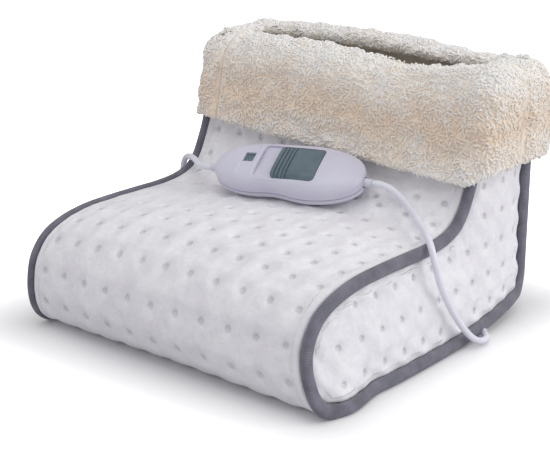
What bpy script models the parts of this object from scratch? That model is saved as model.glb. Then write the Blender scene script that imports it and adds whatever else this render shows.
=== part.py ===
"""Electric foot warmer: a quilted boot for both feet with a turned-down sherpa cuff,
a heated sole and a sliding hand controller on its flex.

Metres, +Z up. The toe points to -Y and the heel to +Y; the sole stands on z = 0.
The walls follow one closed line, the side seam, seen from the side: down the front wall,
over the toes, under the sole and up the heel. Depths are measured inwards from the outer
face of the centre strip, which lies SEAM_DEPTH outside that line.
"""
import math

import bmesh
import bpy
from mathutils import Matrix, Vector
from mathutils.bvhtree import BVHTree

for old in list(bpy.data.objects):
    bpy.data.objects.remove(old, do_unlink=True)

# For every piece
CLEARANCE = 0.0003
OVERRUN = 0.004
MERGE = 0.00001
FINE_STEPS = 12
ARC_STEPS = 24

# The boot. The shares draw the side seam, seen from the side: y as a share of the toe's
# length; z as a share of the wall above the vamp, then of the vamp's height.
STRIP_HALF_WIDTH = 0.138
TOE_LENGTH = 0.156
HEEL_LENGTH = 0.1428
WALL_TOP = 0.190
VAMP_HEIGHT = 0.0865
HEEL_RADIUS = 0.019
WALL_SHARES = (
    (0.474, 1.0), (0.452, 0.826), (0.423, 0.614), (0.391, 0.459), (0.353, 0.324),
    (0.301, 0.179), (0.231, 0.077), (0.115, 0.019), (-0.038, 0.0),
)
TOE_SHARES = (
    (-0.21, 1.003), (-0.417, 1.005), (-0.603, 0.995), (-0.763, 0.948), (-0.891, 0.855),
    (-0.968, 0.705), (-0.997, 0.53), (-1.0, 0.347), (-0.974, 0.19), (-0.91, 0.087),
)
SOLE_START_SHARE = -0.82
SOLE_FRONT_SHARE = -0.7564
SOLE_REAR_INSET = 0.0248
QUILT_PITCH = 0.025
EDGE_SHARE = 0.985
TUFT_DEPTH = 0.0042
PANEL_THICKNESS = 0.009
SEAM_DEPTH = 0.005
SIDE_THICKNESS = 0.009
SIDE_FIRST_ROW = 0.021
SIDE_BULGE = 0.0085
SIDE_BULGE_RUN = 0.042
VAMP_CROWN = 0.009
BEND_CROWN = 0.016
BEND_START_SHARE = 0.25
BACK_CROWN = 0.003
CROWN_END = 0.122
SOLE_BOW = 0.015
BOW_HEIGHT = 0.085
WHITE_FLEECE = (0.86, 0.85, 0.83)

# The lining of the foot pocket
LINING_THICKNESS = 0.007
LINING_SEAM_ROOM = 0.004
LINING_FRONT_SHARE = -0.875
LINING_REAR_INSET = 0.0063
PLUSH = (0.85, 0.78, 0.68)

# The grey tape over the side seams
BINDING_RADIUS = 0.0045
BINDING_OUTSET = 0.0052
BINDING_GAP_HALF = 0.0105
BINDING_STRAY = CLEARANCE / 4
TAPE_GREY = (0.16, 0.16, 0.19)

# The sherpa cuff
CUFF_THICKNESS = 0.013
CUFF_EASE = 0.0005
CUFF_HEM = 0.134
CUFF_HEM_SLOPE = 0.05
CUFF_ROLL_WIDTH = 0.0198
CUFF_ROLL_HEIGHT = 0.0198
CUFF_ROLL_END = math.radians(112)
CUFF_CORNER = 0.0055
CUFF_SEAM_X = 0.117
CUFF_SEAM_GAP = 0.0006
RIGHT_SEAM_SHARE = 0.0
CUFF_LEG_STEPS = 3
CUFF_ROLL_STEPS = 7
CORNER_STEPS = 4
STRAIGHT_STEPS = 5
SHERPA = (0.88, 0.80, 0.68)

# The heated sole
LAYER_EASE = 0.0012
LAYER_CUTS = 9
FOAM_THICKNESS = 0.005
CARRIER_THICKNESS = 0.0012
WIRE_RADIUS = 0.0008
WIRE_RUNS = 8
WIRE_SIDE_ROOM = 0.034
WIRE_END_ROOM = 0.027
BEND_STEPS = 4
SOLE_GLAND_INSET = 0.0852
SOLE_GLAND_HEIGHT = 0.0050
SOLE_GLAND_LENGTH = 0.0400
SOLE_GLAND_TAPER = 0.0200
SOLE_GLAND_RADIUS = 0.0036
SOLE_GLAND_TIP_RADIUS = 0.0032
SOLE_GLAND_PROUD = 0.0007
SOLE_GLAND_TURN = math.radians(-45)
INNER_LEAD_RADIUS = 0.0020
INNER_LEAD_SHARES = ((0.28, 0.74), (0.55, 0.97))
JUNCTION_SIDE_ROOM = 0.0040
JUNCTION_REAR_INSET = 0.0548
JUNCTION_HALF_LENGTH = 0.0120
JUNCTION_HALF_WIDTH = 0.0100
JUNCTION_LOW = 0.0015
JUNCTION_CORNER = 0.0025
THERMOSTAT_PLACE = (-0.030, 0.0)
THERMOSTAT_RADIUS = 0.0080
FUSE_ENDS = (0.020, 0.034)
FUSE_RADIUS = 0.0018
LID_EASE = 0.0006
FOAM_GREY = (0.75, 0.75, 0.72)
FELT = (0.70, 0.66, 0.60)
WIRE_RED = (0.55, 0.12, 0.08)
FUSE_CREAM = (0.80, 0.78, 0.72)
CASE_BLACK = (0.20, 0.20, 0.22)

# The hand controller, in its own axes: x along it, y across it, z out of its face
CONTROLLER_HALF_LENGTH = 0.068
CONTROLLER_HALF_WIDTH = 0.0292
CONTROLLER_TAPER = 0.003
CONTROLLER_WAIST = 0.0045
WAIST_PLACE_SHARE = -0.1
WAIST_SPREAD_SHARE = 0.3
FAR_WAIST_SHARE = 0.3
PEBBLE_POWER = 3.4
OUTLINE_POWER = 2.5
PEBBLE_SIDES = 32
PEBBLE_RINGS = 16
LIP_SHARE = math.cos(math.pi / PEBBLE_RINGS)
BOTTOM_HEIGHT = 0.0095
TOP_HEIGHT = 0.0158
SHELL_WALL = 0.002
CONTROLLER_YAW = math.radians(13.6)
CONTROLLER_TILT = math.radians(30)
CONTROLLER_ROLL = math.radians(-2.2)
CONTROLLER_X = -0.0055
CONTROLLER_WALL_SHARE = 0.353
CONTROLLER_WALL_ROOM = 0.040568
CONTROLLER_DROP = 0.040
EDGE_PROBES = 8
SHELL_WHITE = (0.78, 0.77, 0.82)
STEEL = (0.50, 0.50, 0.52)

# The controller's screws, bosses and glands
SCREW_PLACES = ((0.0500, 0.0), (-0.0490, -0.0100))
SCREW_RADIUS = 0.0013
SCREW_HEAD_RADIUS = 0.0026
SCREW_HEAD_HEIGHT = 0.0018
SCREW_RISE = 0.008
SCREW_EASE = 0.0004
BOSS_RADIUS = 0.0035
HEAD_SINK = 0.0042
GLAND_RADIUS = 0.0044
GLAND_FLANGE_RADIUS = 0.0050
GLAND_FLANGE_WIDTH = 0.002
GLAND_TIP_RADIUS = 0.0034
GLAND_INNER_X = 0.0540
GLAND_TIP_X = 0.0745

# The slider, its bed, the window over its number strip
SLIDER_LENGTH = 0.0395
SLIDER_WIDTH = 0.0360
SLIDER_TRAVEL = 0.0154
SLIDER_CENTRE = 0.0110
SLIDER_PROUD = 0.0012
SLIDER_CORNER = 0.004
SLIDE_GAP = 0.0004
BED_DEPTH = 0.0034
BED_THICKNESS = 0.0016
BED_MARGIN = 0.0016
STEM_HALF_LENGTH = 0.0050
STEM_HALF_WIDTH = 0.0030
FOOT_HALF_LENGTH = 0.0140
FOOT_HALF_WIDTH = 0.0080
FOOT_THICKNESS = 0.0009
GROOVE_COUNT = 4
GROOVE_PITCH = 0.0034
GROOVE_WIDTH = 0.0014
GROOVE_DEPTH = 0.0010
WINDOW_CENTRE = (-0.0345, 0.0018)
WINDOW_SIZE = (0.0092, 0.0098)
LENS_THICKNESS = 0.0014
LENS_SINK = 0.0005
STRIP_THICKNESS = 0.0008
STRIP_LAP = 0.0080
SLIDER_GREY = (0.16, 0.20, 0.21)
LENS_GREY = (0.55, 0.62, 0.66)
STRIP_BLUE = (0.35, 0.42, 0.48)

# The circuit board and what stands on it
BOARD_HALF_LENGTH = 0.0400
BOARD_HALF_WIDTH = 0.0150
BOARD_LOW = 0.0062
BOARD_THICKNESS = 0.0016
POST_RADIUS = 0.0020
POST_SIDES = 12
POST_PLACES = ((0.0330, 0.0110), (0.0330, -0.0110), (-0.0330, 0.0110), (-0.0330, -0.0110))
CONTACT_Y = -0.0055
CONTACT_HALF_WIDTH = 0.0020
PLATE_THICKNESS = 0.0006
SPRING_THICKNESS = 0.0004
SPRING_REACH = 0.0060
SPRING_LAP = 0.0050
TRIAC_LOW = (-0.0300, -0.0125)
TRIAC_SIZE = (0.0100, 0.0045, 0.0075)
CAPACITOR_RADIUS = 0.0036
CAPACITOR_ENDS = (0.0180, 0.0320)
CAPACITOR_Y = 0.0080
BOARD_GREEN = (0.10, 0.28, 0.12)
BRASS = (0.75, 0.55, 0.25)
TRIAC_BLACK = (0.05, 0.05, 0.05)
CAPACITOR_YELLOW = (0.75, 0.65, 0.15)

# The flexes
CORD_RADIUS = 0.0027
CORD_STEP = 4
COIL_TURNS = 3.5
COIL_MID_RADIUS = 0.0324
COIL_PITCH = 0.00595
COIL_SIDE_ROOM = 0.0860
COIL_REAR_INSET = 0.0534
COIL_TAIL = 0.0260
TURN_POINTS = 24
CLIMB_TURNS = 0.5
TAIL_STEPS = 5
TAIL_LEVEL_SHARE = 0.15
FLEX_GREY = (0.66, 0.68, 0.72)

# The plug
RELIEF_LENGTH = 0.0240
RELIEF_RADIUS = 0.0050
PLUG_LENGTH = 0.0360
PLUG_HALF_WIDTH = 0.0175
PLUG_HALF_THICKNESS = 0.0070
PLUG_SHOULDER_SHARE = 0.55
PLUG_ROUNDING = 0.0020
PIN_RADIUS = 0.0020
PIN_LENGTH = 0.0190
PIN_HALF_PITCH = 0.0095
PIN_DEPTH = 0.0050
PIN_STEEL = (0.75, 0.75, 0.77)

parts = bpy.data.collections.new("electric_foot_warmer")
cutters = bpy.data.collections.new("cutters")
for group in (parts, cutters):
    bpy.context.scene.collection.children.link(group)


def add(name, mesh, colour, roughness, metallic=0.0, parent=None):
    """One named sub-part with its own material."""
    made = bpy.data.objects.new(name, mesh)
    parts.objects.link(made)
    made.parent = parent
    finish = bpy.data.materials.new(name)
    finish.use_nodes = True
    shader = finish.node_tree.nodes["Principled BSDF"]
    shader.inputs["Base Color"].default_value = (*colour, 1.0)
    shader.inputs["Roughness"].default_value = roughness
    shader.inputs["Metallic"].default_value = metallic
    mesh.materials.append(finish)
    return made


def to_mesh(name, bm, smooth=False, mirrored=False):
    """A mesh from a bmesh, with its faces turned outwards, mirrored to -X if asked."""
    bmesh.ops.recalc_face_normals(bm, faces=bm.faces[:])
    if mirrored:
        for vert in bm.verts:
            vert.co.x = -vert.co.x
        bmesh.ops.reverse_faces(bm, faces=bm.faces[:])
    mesh = bpy.data.meshes.new(name)
    bm.to_mesh(mesh)
    bm.free()
    if smooth:
        mesh.shade_smooth()
    return mesh


def cut(target, name, mesh, operation="DIFFERENCE"):
    """Cuts a hidden shape from a part, or joins it on."""
    tool = bpy.data.objects.new(name, mesh)
    cutters.objects.link(tool)
    tool.parent = target.parent
    tool.hide_render = True
    tool.display_type = "WIRE"
    boolean = target.modifiers.new(name, "BOOLEAN")
    boolean.operation = operation
    boolean.object = tool
    return tool


def box_mesh(name, low, high):
    """A box between two corners."""
    bm = bmesh.new()
    bmesh.ops.create_cube(bm, size=1.0)
    low, high = Vector(low), Vector(high)
    for vert in bm.verts:
        vert.co = (low + high) / 2 + vert.co * (high - low)
    return to_mesh(name, bm)


def rod_mesh(name, start, end, radius, sides=16):
    """A straight rod between two points."""
    start, end = Vector(start), Vector(end)
    bm = bmesh.new()
    bmesh.ops.create_cone(bm, cap_ends=True, segments=sides, radius1=radius, radius2=radius,
                          depth=(end - start).length)
    turn = Vector((0, 0, 1)).rotation_difference(end - start).to_matrix().to_4x4()
    bmesh.ops.transform(bm, matrix=Matrix.Translation((start + end) / 2) @ turn, verts=bm.verts[:])
    return to_mesh(name, bm, smooth=True)


def smooth_line(points, steps, after=None):
    """Points on a smooth curve through the given points, the last one included."""
    last = after if after is not None else 2 * points[-1] - points[-2]
    ring = [2 * points[0] - points[1]] + list(points) + [last]
    line = []
    for p0, p1, p2, p3 in zip(ring, ring[1:], ring[2:], ring[3:]):
        for step in range(steps):
            t = step / steps
            line.append(0.5 * (2 * p1 + (p2 - p0) * t + (2 * p0 - 5 * p1 + 4 * p2 - p3) * t ** 2
                               + (3 * p1 - p0 - 3 * p2 + p3) * t ** 3))
    return line + [points[-1]]


def spaced(points, pitch):
    """Points at an even spacing, close to the pitch, along a fine line."""
    lengths = [0.0]
    for a, b in zip(points, points[1:]):
        lengths.append(lengths[-1] + (b - a).length)
    count = max(2, round(lengths[-1] / pitch))
    line = []
    piece = 0
    for number in range(count + 1):
        along = lengths[-1] * number / count
        while piece < len(points) - 2 and lengths[piece + 1] < along:
            piece += 1
        share = (along - lengths[piece]) / (lengths[piece + 1] - lengths[piece])
        line.append(points[piece].lerp(points[piece + 1], share))
    return line


def smoothstep(value, low, high):
    """0 below low, 1 above high, smooth between."""
    t = min(max((value - low) / (high - low), 0.0), 1.0)
    return t * t * (3 - 2 * t)


# The side seam

above_vamp = WALL_TOP - VAMP_HEIGHT
front_points = [Vector((TOE_LENGTH * y, VAMP_HEIGHT + above_vamp * z)) for y, z in WALL_SHARES]
front_points += [Vector((TOE_LENGTH * y, VAMP_HEIGHT * z)) for y, z in TOE_SHARES]
sole_start = Vector((TOE_LENGTH * SOLE_START_SHARE, SEAM_DEPTH))
sole_front = Vector((TOE_LENGTH * SOLE_FRONT_SHARE, SEAM_DEPTH))
sole_rear = Vector((HEEL_LENGTH - SOLE_REAR_INSET, SEAM_DEPTH))
heel_centre = Vector((HEEL_LENGTH - HEEL_RADIUS, SEAM_DEPTH + HEEL_RADIUS))
heel_arc = []
for arc_step in range(ARC_STEPS + 1):
    turn_angle = math.radians(90) * arc_step / ARC_STEPS
    heel_arc.append(heel_centre + HEEL_RADIUS * Vector((math.sin(turn_angle), -math.cos(turn_angle))))

vamp_line = smooth_line(front_points + [sole_start], FINE_STEPS, after=sole_front) + [sole_front]
back_line = [sole_rear] + heel_arc + [Vector((HEEL_LENGTH, WALL_TOP))]
HALF_PITCH = QUILT_PITCH / 2
vamp_rows = spaced(vamp_line, HALF_PITCH)
sole_rows = spaced([sole_front, sole_rear], HALF_PITCH)
back_rows = spaced(back_line, HALF_PITCH)
seam_rows = vamp_rows + sole_rows[1:-1] + back_rows
SOLE_FIRST = len(vamp_rows) - 1
BACK_FIRST = SOLE_FIRST + len(sole_rows) - 1
LAST_ROW = len(seam_rows) - 1


def along_seam(row):
    """The seam line's direction at a row, and how far a mitre there lengthens an offset."""
    ahead = (seam_rows[min(row + 1, LAST_ROW)] - seam_rows[min(row, LAST_ROW - 1)]).normalized()
    behind = (seam_rows[max(row, 1)] - seam_rows[max(row - 1, 0)]).normalized()
    along = (ahead + behind).normalized()
    return along, 1 / along.dot(ahead)


def inside(row, depth, shift=0.0):
    """A row of the seam line, moved along it and to a depth below the strip's outer face."""
    along, mitre = along_seam(row)
    outward = Vector((along.y, -along.x))
    return seam_rows[row] + along * shift + outward * (SEAM_DEPTH - depth) * mitre


def widen(point, seam=None):
    """Bows the boot's sides outwards near the floor, by the point's own place or its seam's."""
    y, z = seam if seam else (point[1], point[2])
    reach = min(abs(y) / HEEL_LENGTH, 1.0)
    fade = 1 - min(max(0.0, z - PANEL_THICKNESS) / BOW_HEIGHT, 1.0)
    factor = 1 + SOLE_BOW * (1 - reach ** 4) * fade ** 2 / STRIP_HALF_WIDTH
    return Vector((point[0] * factor, point[1], point[2]))


def front_crown(row):
    """How far the vamp stands proud of its seams, along its length."""
    y, z = seam_rows[row]
    crown = VAMP_CROWN * smoothstep(z, SEAM_DEPTH, VAMP_HEIGHT / 2)
    if y > 0:
        bend = smoothstep(y, 0, TOE_LENGTH * BEND_START_SHARE)
        crown += (BEND_CROWN - VAMP_CROWN) * bend
        crown *= smoothstep(z, CROWN_END, CROWN_END - QUILT_PITCH)
    return crown


def back_crown(row):
    """The heel wall's slight swell below the cuff."""
    z = seam_rows[row].y
    rise = smoothstep(z, SEAM_DEPTH, HEEL_RADIUS)
    return BACK_CROWN * rise * smoothstep(z, CROWN_END, CROWN_END - QUILT_PITCH)


def quilt_columns():
    """Places across the strip: its two edges and the tufts with a line between each two."""
    tufts_out = int(STRIP_HALF_WIDTH / QUILT_PITCH * EDGE_SHARE)
    lines = [HALF_PITCH * number for number in range(-2 * tufts_out, 2 * tufts_out + 1)]
    return [-STRIP_HALF_WIDTH] + lines + [STRIP_HALF_WIDTH]


def strip_panel(name, first, last, outer, inner, columns, crown=None, end_gap=0.0):
    """A panel of the centre strip: a grid over its rows and columns, then its wall.

    With a crown it is a quilted panel, and every second line of its rows and columns
    crosses at a sewn tuft. Its inner face is straight across.
    """
    bm = bmesh.new()
    row_of = bm.verts.layers.int.new("row")
    column_of = bm.verts.layers.int.new("column")
    across = len(columns) - 1
    bmesh.ops.create_grid(bm, x_segments=across, y_segments=last - first, size=1.0)
    for vert in bm.verts:
        vert[column_of] = round((vert.co.x + 1) / 2 * across)
        vert[row_of] = first + round((vert.co.y + 1) / 2 * (last - first))
    grown = bmesh.ops.extrude_face_region(bm, geom=bm.faces[:])["geom"]
    lining_side = {item for item in grown if isinstance(item, bmesh.types.BMVert)}
    for vert in bm.verts:
        row, column = vert[row_of], vert[column_of]
        x = columns[column]
        depth = outer
        if vert in lining_side:
            depth = inner
        elif crown:
            tuft = column % 2 == 1 and (row - first) % 2 == 1 and 0 < column < across and row < last
            depth -= crown(row) * (1 - (x / STRIP_HALF_WIDTH) ** 2)
            depth += TUFT_DEPTH if tuft else 0.0
        shift = end_gap if row == first else -end_gap if row == last else 0.0
        y, z = inside(row, depth, shift)
        vert.co = widen((x, y, z), seam_rows[row] if outer == 0 else None)
    if across > 1:
        spare = [edge for edge in bm.edges if all(
            v in lining_side and 0 < v[column_of] < across for v in edge.verts)
            and edge.verts[0][column_of] == edge.verts[1][column_of]]
        bmesh.ops.dissolve_edges(bm, edges=spare, use_verts=True)
    return to_mesh(name, bm)


def side_outline(depth, bottom=0.0):
    """The closed outline of a side piece inside the strip, at a depth from its face."""
    outline = []
    for row in range(len(seam_rows)):
        y, z = inside(row, depth)
        point = Vector((y, max(z, bottom)))
        if not outline or (point - outline[-1]).length > CLEARANCE:
            outline.append(point)
    return outline


def outline_distance(point, outline):
    """The least distance from a point to the outline's edges."""
    least = math.inf
    for a, b in zip(outline, outline[1:] + outline[:1]):
        share = max(0.0, min(1.0, (point - a).dot(b - a) / (b - a).length_squared))
        least = min(least, (point - a.lerp(b, share)).length)
    return least


def divide_face(bm, plane_x, pitch):
    """Cuts the flat face at one x into squares, with lines through the first row of tufts."""
    lines = int(2 * TOE_LENGTH / pitch)
    for number in range(-lines, lines):
        for direction, place in ((Vector((0, 1, 0)), number * pitch),
                                 (Vector((0, 0, 1)), SIDE_FIRST_ROW + number * pitch)):
            items = set()
            for face in bm.faces:
                if all(abs(v.co.x - plane_x) < MERGE for v in face.verts):
                    items.update([face], face.edges, face.verts)
            bmesh.ops.bisect_plane(bm, geom=list(items), plane_co=direction * place, plane_no=direction,
                                   dist=MERGE)


def side_panel(name, side, inner_x, thickness, outline, quilted):
    """A side wall: its outline drawn out to a slab, its outer face quilted if asked."""
    bm = bmesh.new()
    outer_x = inner_x + thickness
    face = bm.faces.new([bm.verts.new((outer_x, y, z)) for y, z in outline])
    grown = bmesh.ops.extrude_face_region(bm, geom=[face])["geom"]
    for item in grown:
        if isinstance(item, bmesh.types.BMVert):
            item.co.x = inner_x
    divide_face(bm, outer_x, HALF_PITCH if quilted else QUILT_PITCH)
    divide_face(bm, inner_x, QUILT_PITCH)
    for vert in bm.verts:
        if quilted and abs(vert.co.x - outer_x) < MERGE:
            away = outline_distance(Vector((vert.co.y, vert.co.z)), outline)
            swell = SIDE_BULGE * (1 - (1 - min(away / SIDE_BULGE_RUN, 1.0)) ** 2)
            off_lines = [abs(place / QUILT_PITCH - round(place / QUILT_PITCH)) * QUILT_PITCH
                         for place in (vert.co.y, vert.co.z - SIDE_FIRST_ROW)]
            if max(off_lines) < MERGE:
                swell -= TUFT_DEPTH * min(away / HALF_PITCH, 1.0)
            vert.co.x += swell
    for vert in bm.verts:
        vert.co = widen(vert.co)
    return to_mesh(name, bm, mirrored=side < 0)


# Outer panels of the centre strip
columns = quilt_columns()
edge_columns = [-STRIP_HALF_WIDTH, STRIP_HALF_WIDTH]
vamp_panel = add("vamp_panel", strip_panel(
    "vamp_panel", 0, SOLE_FIRST, 0.0, PANEL_THICKNESS, columns, front_crown), WHITE_FLEECE, 0.95)
sole_panel = add("sole_panel", strip_panel(
    "sole_panel", SOLE_FIRST, BACK_FIRST, 0.0, PANEL_THICKNESS, edge_columns, end_gap=CLEARANCE),
    TAPE_GREY, 0.9)
back_panel = add("back_panel", strip_panel(
    "back_panel", BACK_FIRST, LAST_ROW, 0.0, PANEL_THICKNESS, columns, back_crown), WHITE_FLEECE, 0.95)

# Side panels, inside the strip
panel_outline = side_outline(PANEL_THICKNESS + CLEARANCE)
SIDE_INNER_X = STRIP_HALF_WIDTH - SIDE_THICKNESS
for side_name, side in (("right", 1), ("left", -1)):
    panel_name = side_name + "_side_panel"
    add(panel_name, side_panel(panel_name, side, SIDE_INNER_X, SIDE_THICKNESS, panel_outline, True),
        WHITE_FLEECE, 0.95)

# The heated sole's layers, upwards from the sole panel
foam_low = PANEL_THICKNESS + CLEARANCE
foam_high = foam_low + FOAM_THICKNESS
carrier_low = foam_high + CLEARANCE
carrier_high = carrier_low + CARRIER_THICKNESS
wire_height = carrier_high + CLEARANCE + WIRE_RADIUS
sole_lining_low = wire_height + WIRE_RADIUS + CLEARANCE
sole_lining_high = sole_lining_low + LINING_THICKNESS
LAYER_HALF_WIDTH = SIDE_INNER_X - LAYER_EASE


def sole_layer(name, half_width, front, rear, low, high):
    """A flat layer of the sole that follows the bowed sides."""
    bm = bmesh.new()
    bmesh.ops.create_cube(bm, size=2.0)
    long_edges = [e for e in bm.edges if abs(e.verts[0].co.y - e.verts[1].co.y) > 1]
    bmesh.ops.subdivide_edges(bm, edges=long_edges, cuts=LAYER_CUTS, use_grid_fill=True)
    for vert in bm.verts:
        height = (low + high) / 2 + vert.co.z * (high - low) / 2
        along = (front + rear) / 2 + vert.co.y * (rear - front) / 2
        vert.co = widen((vert.co.x * half_width, along, height))
    return to_mesh(name, bm)


layer_front = sole_front[0] + CLEARANCE
layer_rear = sole_rear[0] - CLEARANCE
sole_foam = add("sole_foam", sole_layer(
    "sole_foam", LAYER_HALF_WIDTH, layer_front, layer_rear, foam_low, foam_high), FOAM_GREY, 0.9)
add("heater_carrier", sole_layer(
    "heater_carrier", LAYER_HALF_WIDTH, layer_front, layer_rear, carrier_low, carrier_high), FELT, 0.9)
add("lining_sole", sole_layer(
    "lining_sole", LAYER_HALF_WIDTH, TOE_LENGTH * LINING_FRONT_SHARE, HEEL_LENGTH - LINING_REAR_INSET,
    sole_lining_low, sole_lining_high), PLUSH, 0.95)
wire_half_span = STRIP_HALF_WIDTH - WIRE_SIDE_ROOM
wire_front = sole_front[0] + WIRE_END_ROOM
wire_pitch = (sole_rear[0] - WIRE_END_ROOM - wire_front) / (WIRE_RUNS - 1)


def wire_points():
    """The heating wire's run to and fro over the carrier."""
    points = []
    bend = wire_pitch / 2
    for run in range(WIRE_RUNS):
        y = wire_front + run * wire_pitch
        way = 1 if run % 2 == 0 else -1
        points.append(Vector((-way * wire_half_span, y, wire_height)))
        points.append(Vector((way * wire_half_span, y, wire_height)))
        if run < WIRE_RUNS - 1:
            for step in range(1, BEND_STEPS):
                angle = math.pi * step / BEND_STEPS
                points.append(Vector((way * (wire_half_span + bend * math.sin(angle)),
                                      y + bend * (1 - math.cos(angle)), wire_height)))
    return points


def tube(name, points, radius, colour, roughness, resolution=2):
    """A cord, wire or tape: a tube along its points with filled ends."""
    curve = bpy.data.curves.new(name, "CURVE")
    curve.dimensions = "3D"
    curve.bevel_depth = radius
    curve.bevel_resolution = resolution
    curve.use_fill_caps = True
    spline = curve.splines.new("POLY")
    spline.points.add(len(points) - 1)
    for spline_point, point in zip(spline.points, points):
        spline_point.co = (*point, 1.0)
    return add(name, curve, colour, roughness)


tube("heating_wire", wire_points(), WIRE_RADIUS, WIRE_RED, 0.5)

# The lining of the foot pocket, inside the outer panels
lining_depth = PANEL_THICKNESS + CLEARANCE
lining_back_depth = lining_depth + LINING_THICKNESS
lining_columns = [-LAYER_HALF_WIDTH, LAYER_HALF_WIDTH]
lining_foot = sole_lining_high + CLEARANCE
above_sole = [row for row in range(len(seam_rows)) if seam_rows[row].y > lining_foot + LINING_SEAM_ROOM]
toe_row = max(row for row in above_sole if row < SOLE_FIRST)
heel_row = min(row for row in above_sole if row > BACK_FIRST)
add("lining_vamp", strip_panel("lining_vamp", 0, toe_row, lining_depth, lining_back_depth, lining_columns),
    PLUSH, 0.95)
add("lining_back", strip_panel(
    "lining_back", heel_row, LAST_ROW, lining_depth, lining_back_depth, lining_columns), PLUSH, 0.95)
lining_outline = side_outline(lining_back_depth + CLEARANCE, lining_foot)
for side_name, side in (("right", 1), ("left", -1)):
    lining_name = "lining_" + side_name
    add(lining_name, side_panel(
        lining_name, side, LAYER_HALF_WIDTH - LINING_THICKNESS, LINING_THICKNESS, lining_outline, False),
        PLUSH, 0.95)

# The grey tape over the side seams
BINDING_X = STRIP_HALF_WIDTH + BINDING_OUTSET


def on_tape(seam):
    """The tape's middle beside a point of the seam line."""
    return widen((BINDING_X, seam[0], seam[1]), seam)


def binding_points(side, keep, first=None, last=None):
    """The side seam at the tape's middle, with fewer points where it runs straight."""
    points = [on_tape(first)] if first else []
    for seam in seam_rows:
        if keep(seam) and seam.y < WALL_TOP - HALF_PITCH / 2:
            points.append(on_tape(seam))
    points += [on_tape(last)] if last else []
    thinned = [points[0]]
    skipped = []
    for point, after in zip(points[1:], points[2:]):
        skipped.append(point)
        along = (after - thinned[-1]).normalized()
        stray = max(((mid - thinned[-1]) - (mid - thinned[-1]).dot(along) * along).length for mid in skipped)
        if stray > BINDING_STRAY:
            thinned.append(point)
            skipped = []
    thinned.append(points[-1])
    return [Vector((side * x, y, z)) for x, y, z in thinned]


def on_floor(seam):
    """True on the seam's stretch along the floor."""
    return seam.y < SEAM_DEPTH + CLEARANCE


def before_gland(seam):
    """True from the collar's front to the sole's cord gland."""
    return (seam.x < tape_stop[0]) if on_floor(seam) else (seam.x < HEEL_LENGTH - HEEL_RADIUS)


def after_gland(seam):
    """True from the sole's cord gland to the collar's back."""
    return (seam.x > tape_start[0]) if on_floor(seam) else (seam.x > HEEL_LENGTH - HEEL_RADIUS)


sole_gland_y = HEEL_LENGTH - SOLE_GLAND_INSET
tape_stop = (sole_gland_y - BINDING_GAP_HALF, SEAM_DEPTH)
tape_start = (sole_gland_y + BINDING_GAP_HALF, SEAM_DEPTH)
tube("right_binding_front", binding_points(1, before_gland, last=tape_stop), BINDING_RADIUS, TAPE_GREY, 0.85)
tube("right_binding_rear", binding_points(1, after_gland, first=tape_start), BINDING_RADIUS, TAPE_GREY, 0.85)
tube("left_binding", binding_points(-1, lambda seam: True), BINDING_RADIUS, TAPE_GREY, 0.85)

# The sherpa cuff: a leg outside the collar that rolls over its top into the opening
envelope_x = BINDING_X + BINDING_RADIUS + CUFF_EASE
envelope_back = HEEL_LENGTH + SEAM_DEPTH + CUFF_EASE
LEG_INSET = CUFF_THICKNESS / 2 + CLEARANCE


def envelope_front(z):
    """How far forward the front wall reaches at a height; its bends take twice the ease."""
    high, low = vamp_rows[0], vamp_rows[1]
    for a, b in zip(vamp_rows, vamp_rows[1:]):
        if a.y >= z >= b.y and b.x > 0:
            high, low = a, b
            break
    y = high.x + (z - high.y) * (high.x - low.x) / (high.y - low.y)
    return y - SEAM_DEPTH * (high - low).length / (high.y - low.y) - 2 * CUFF_EASE


def cuff_point(station, out, z):
    """A point of the cuff: its station round the collar, how far out, and its height."""
    across, along, angle = station
    radius = CUFF_CORNER + out if out > 0 else CUFF_CORNER * (1 + out / (2 * CUFF_ROLL_WIDTH))
    front = envelope_front(z) - out
    back = envelope_back + out
    half_x = envelope_x + out - radius if abs(across) == 1 else envelope_x - CUFF_CORNER
    half_y = (back - front) / 2 - radius
    return Vector((across * half_x + radius * math.cos(angle),
                   (front + back) / 2 + along * half_y + radius * math.sin(angle), z))


def cuff_hem(station, x):
    """The hem's height, which falls from the front's left to its right."""
    facing = math.sin(station[2]) ** 2 if station[1] < 0 else 0.0
    side_hem = CUFF_HEM + CUFF_HEM_SLOPE * max(-x, 0.0)
    front_hem = CUFF_HEM - CUFF_HEM_SLOPE * x
    return side_hem + (front_hem - side_hem) * facing


def cuff(name, stations):
    """One piece of the cuff, swept through its stations and given its pile's thickness."""
    rows = []
    centre = LEG_INSET - CUFF_ROLL_WIDTH
    for station in stations:
        hem = cuff_hem(station, station[0] * envelope_x)
        row = []
        for step in range(CUFF_LEG_STEPS):
            row.append(cuff_point(station, LEG_INSET, hem + (WALL_TOP - hem) * step / CUFF_LEG_STEPS))
        for step in range(CUFF_ROLL_STEPS + 1):
            angle = CUFF_ROLL_END * step / CUFF_ROLL_STEPS
            row.append(cuff_point(station, centre + CUFF_ROLL_WIDTH * math.cos(angle),
                                  WALL_TOP + CUFF_ROLL_HEIGHT * math.sin(angle)))
        rows.append(row)
    bm = bmesh.new()
    grid = [[bm.verts.new(point) for point in row] for row in rows]
    for left, right in zip(grid, grid[1:]):
        for a, b, c, d in zip(left, left[1:], right[1:], right):
            bm.faces.new((a, b, c, d))
    made = add(name, to_mesh(name, bm), SHERPA, 1.0)
    solid = made.modifiers.new("pile", "SOLIDIFY")
    solid.thickness = CUFF_THICKNESS
    solid.offset = 0.0
    solid.use_even_offset = True
    return made


def corner(across, along, first, last):
    """Stations round one corner of the collar."""
    return [(across, along, first + (last - first) * step / CORNER_STEPS) for step in range(CORNER_STEPS + 1)]


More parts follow.
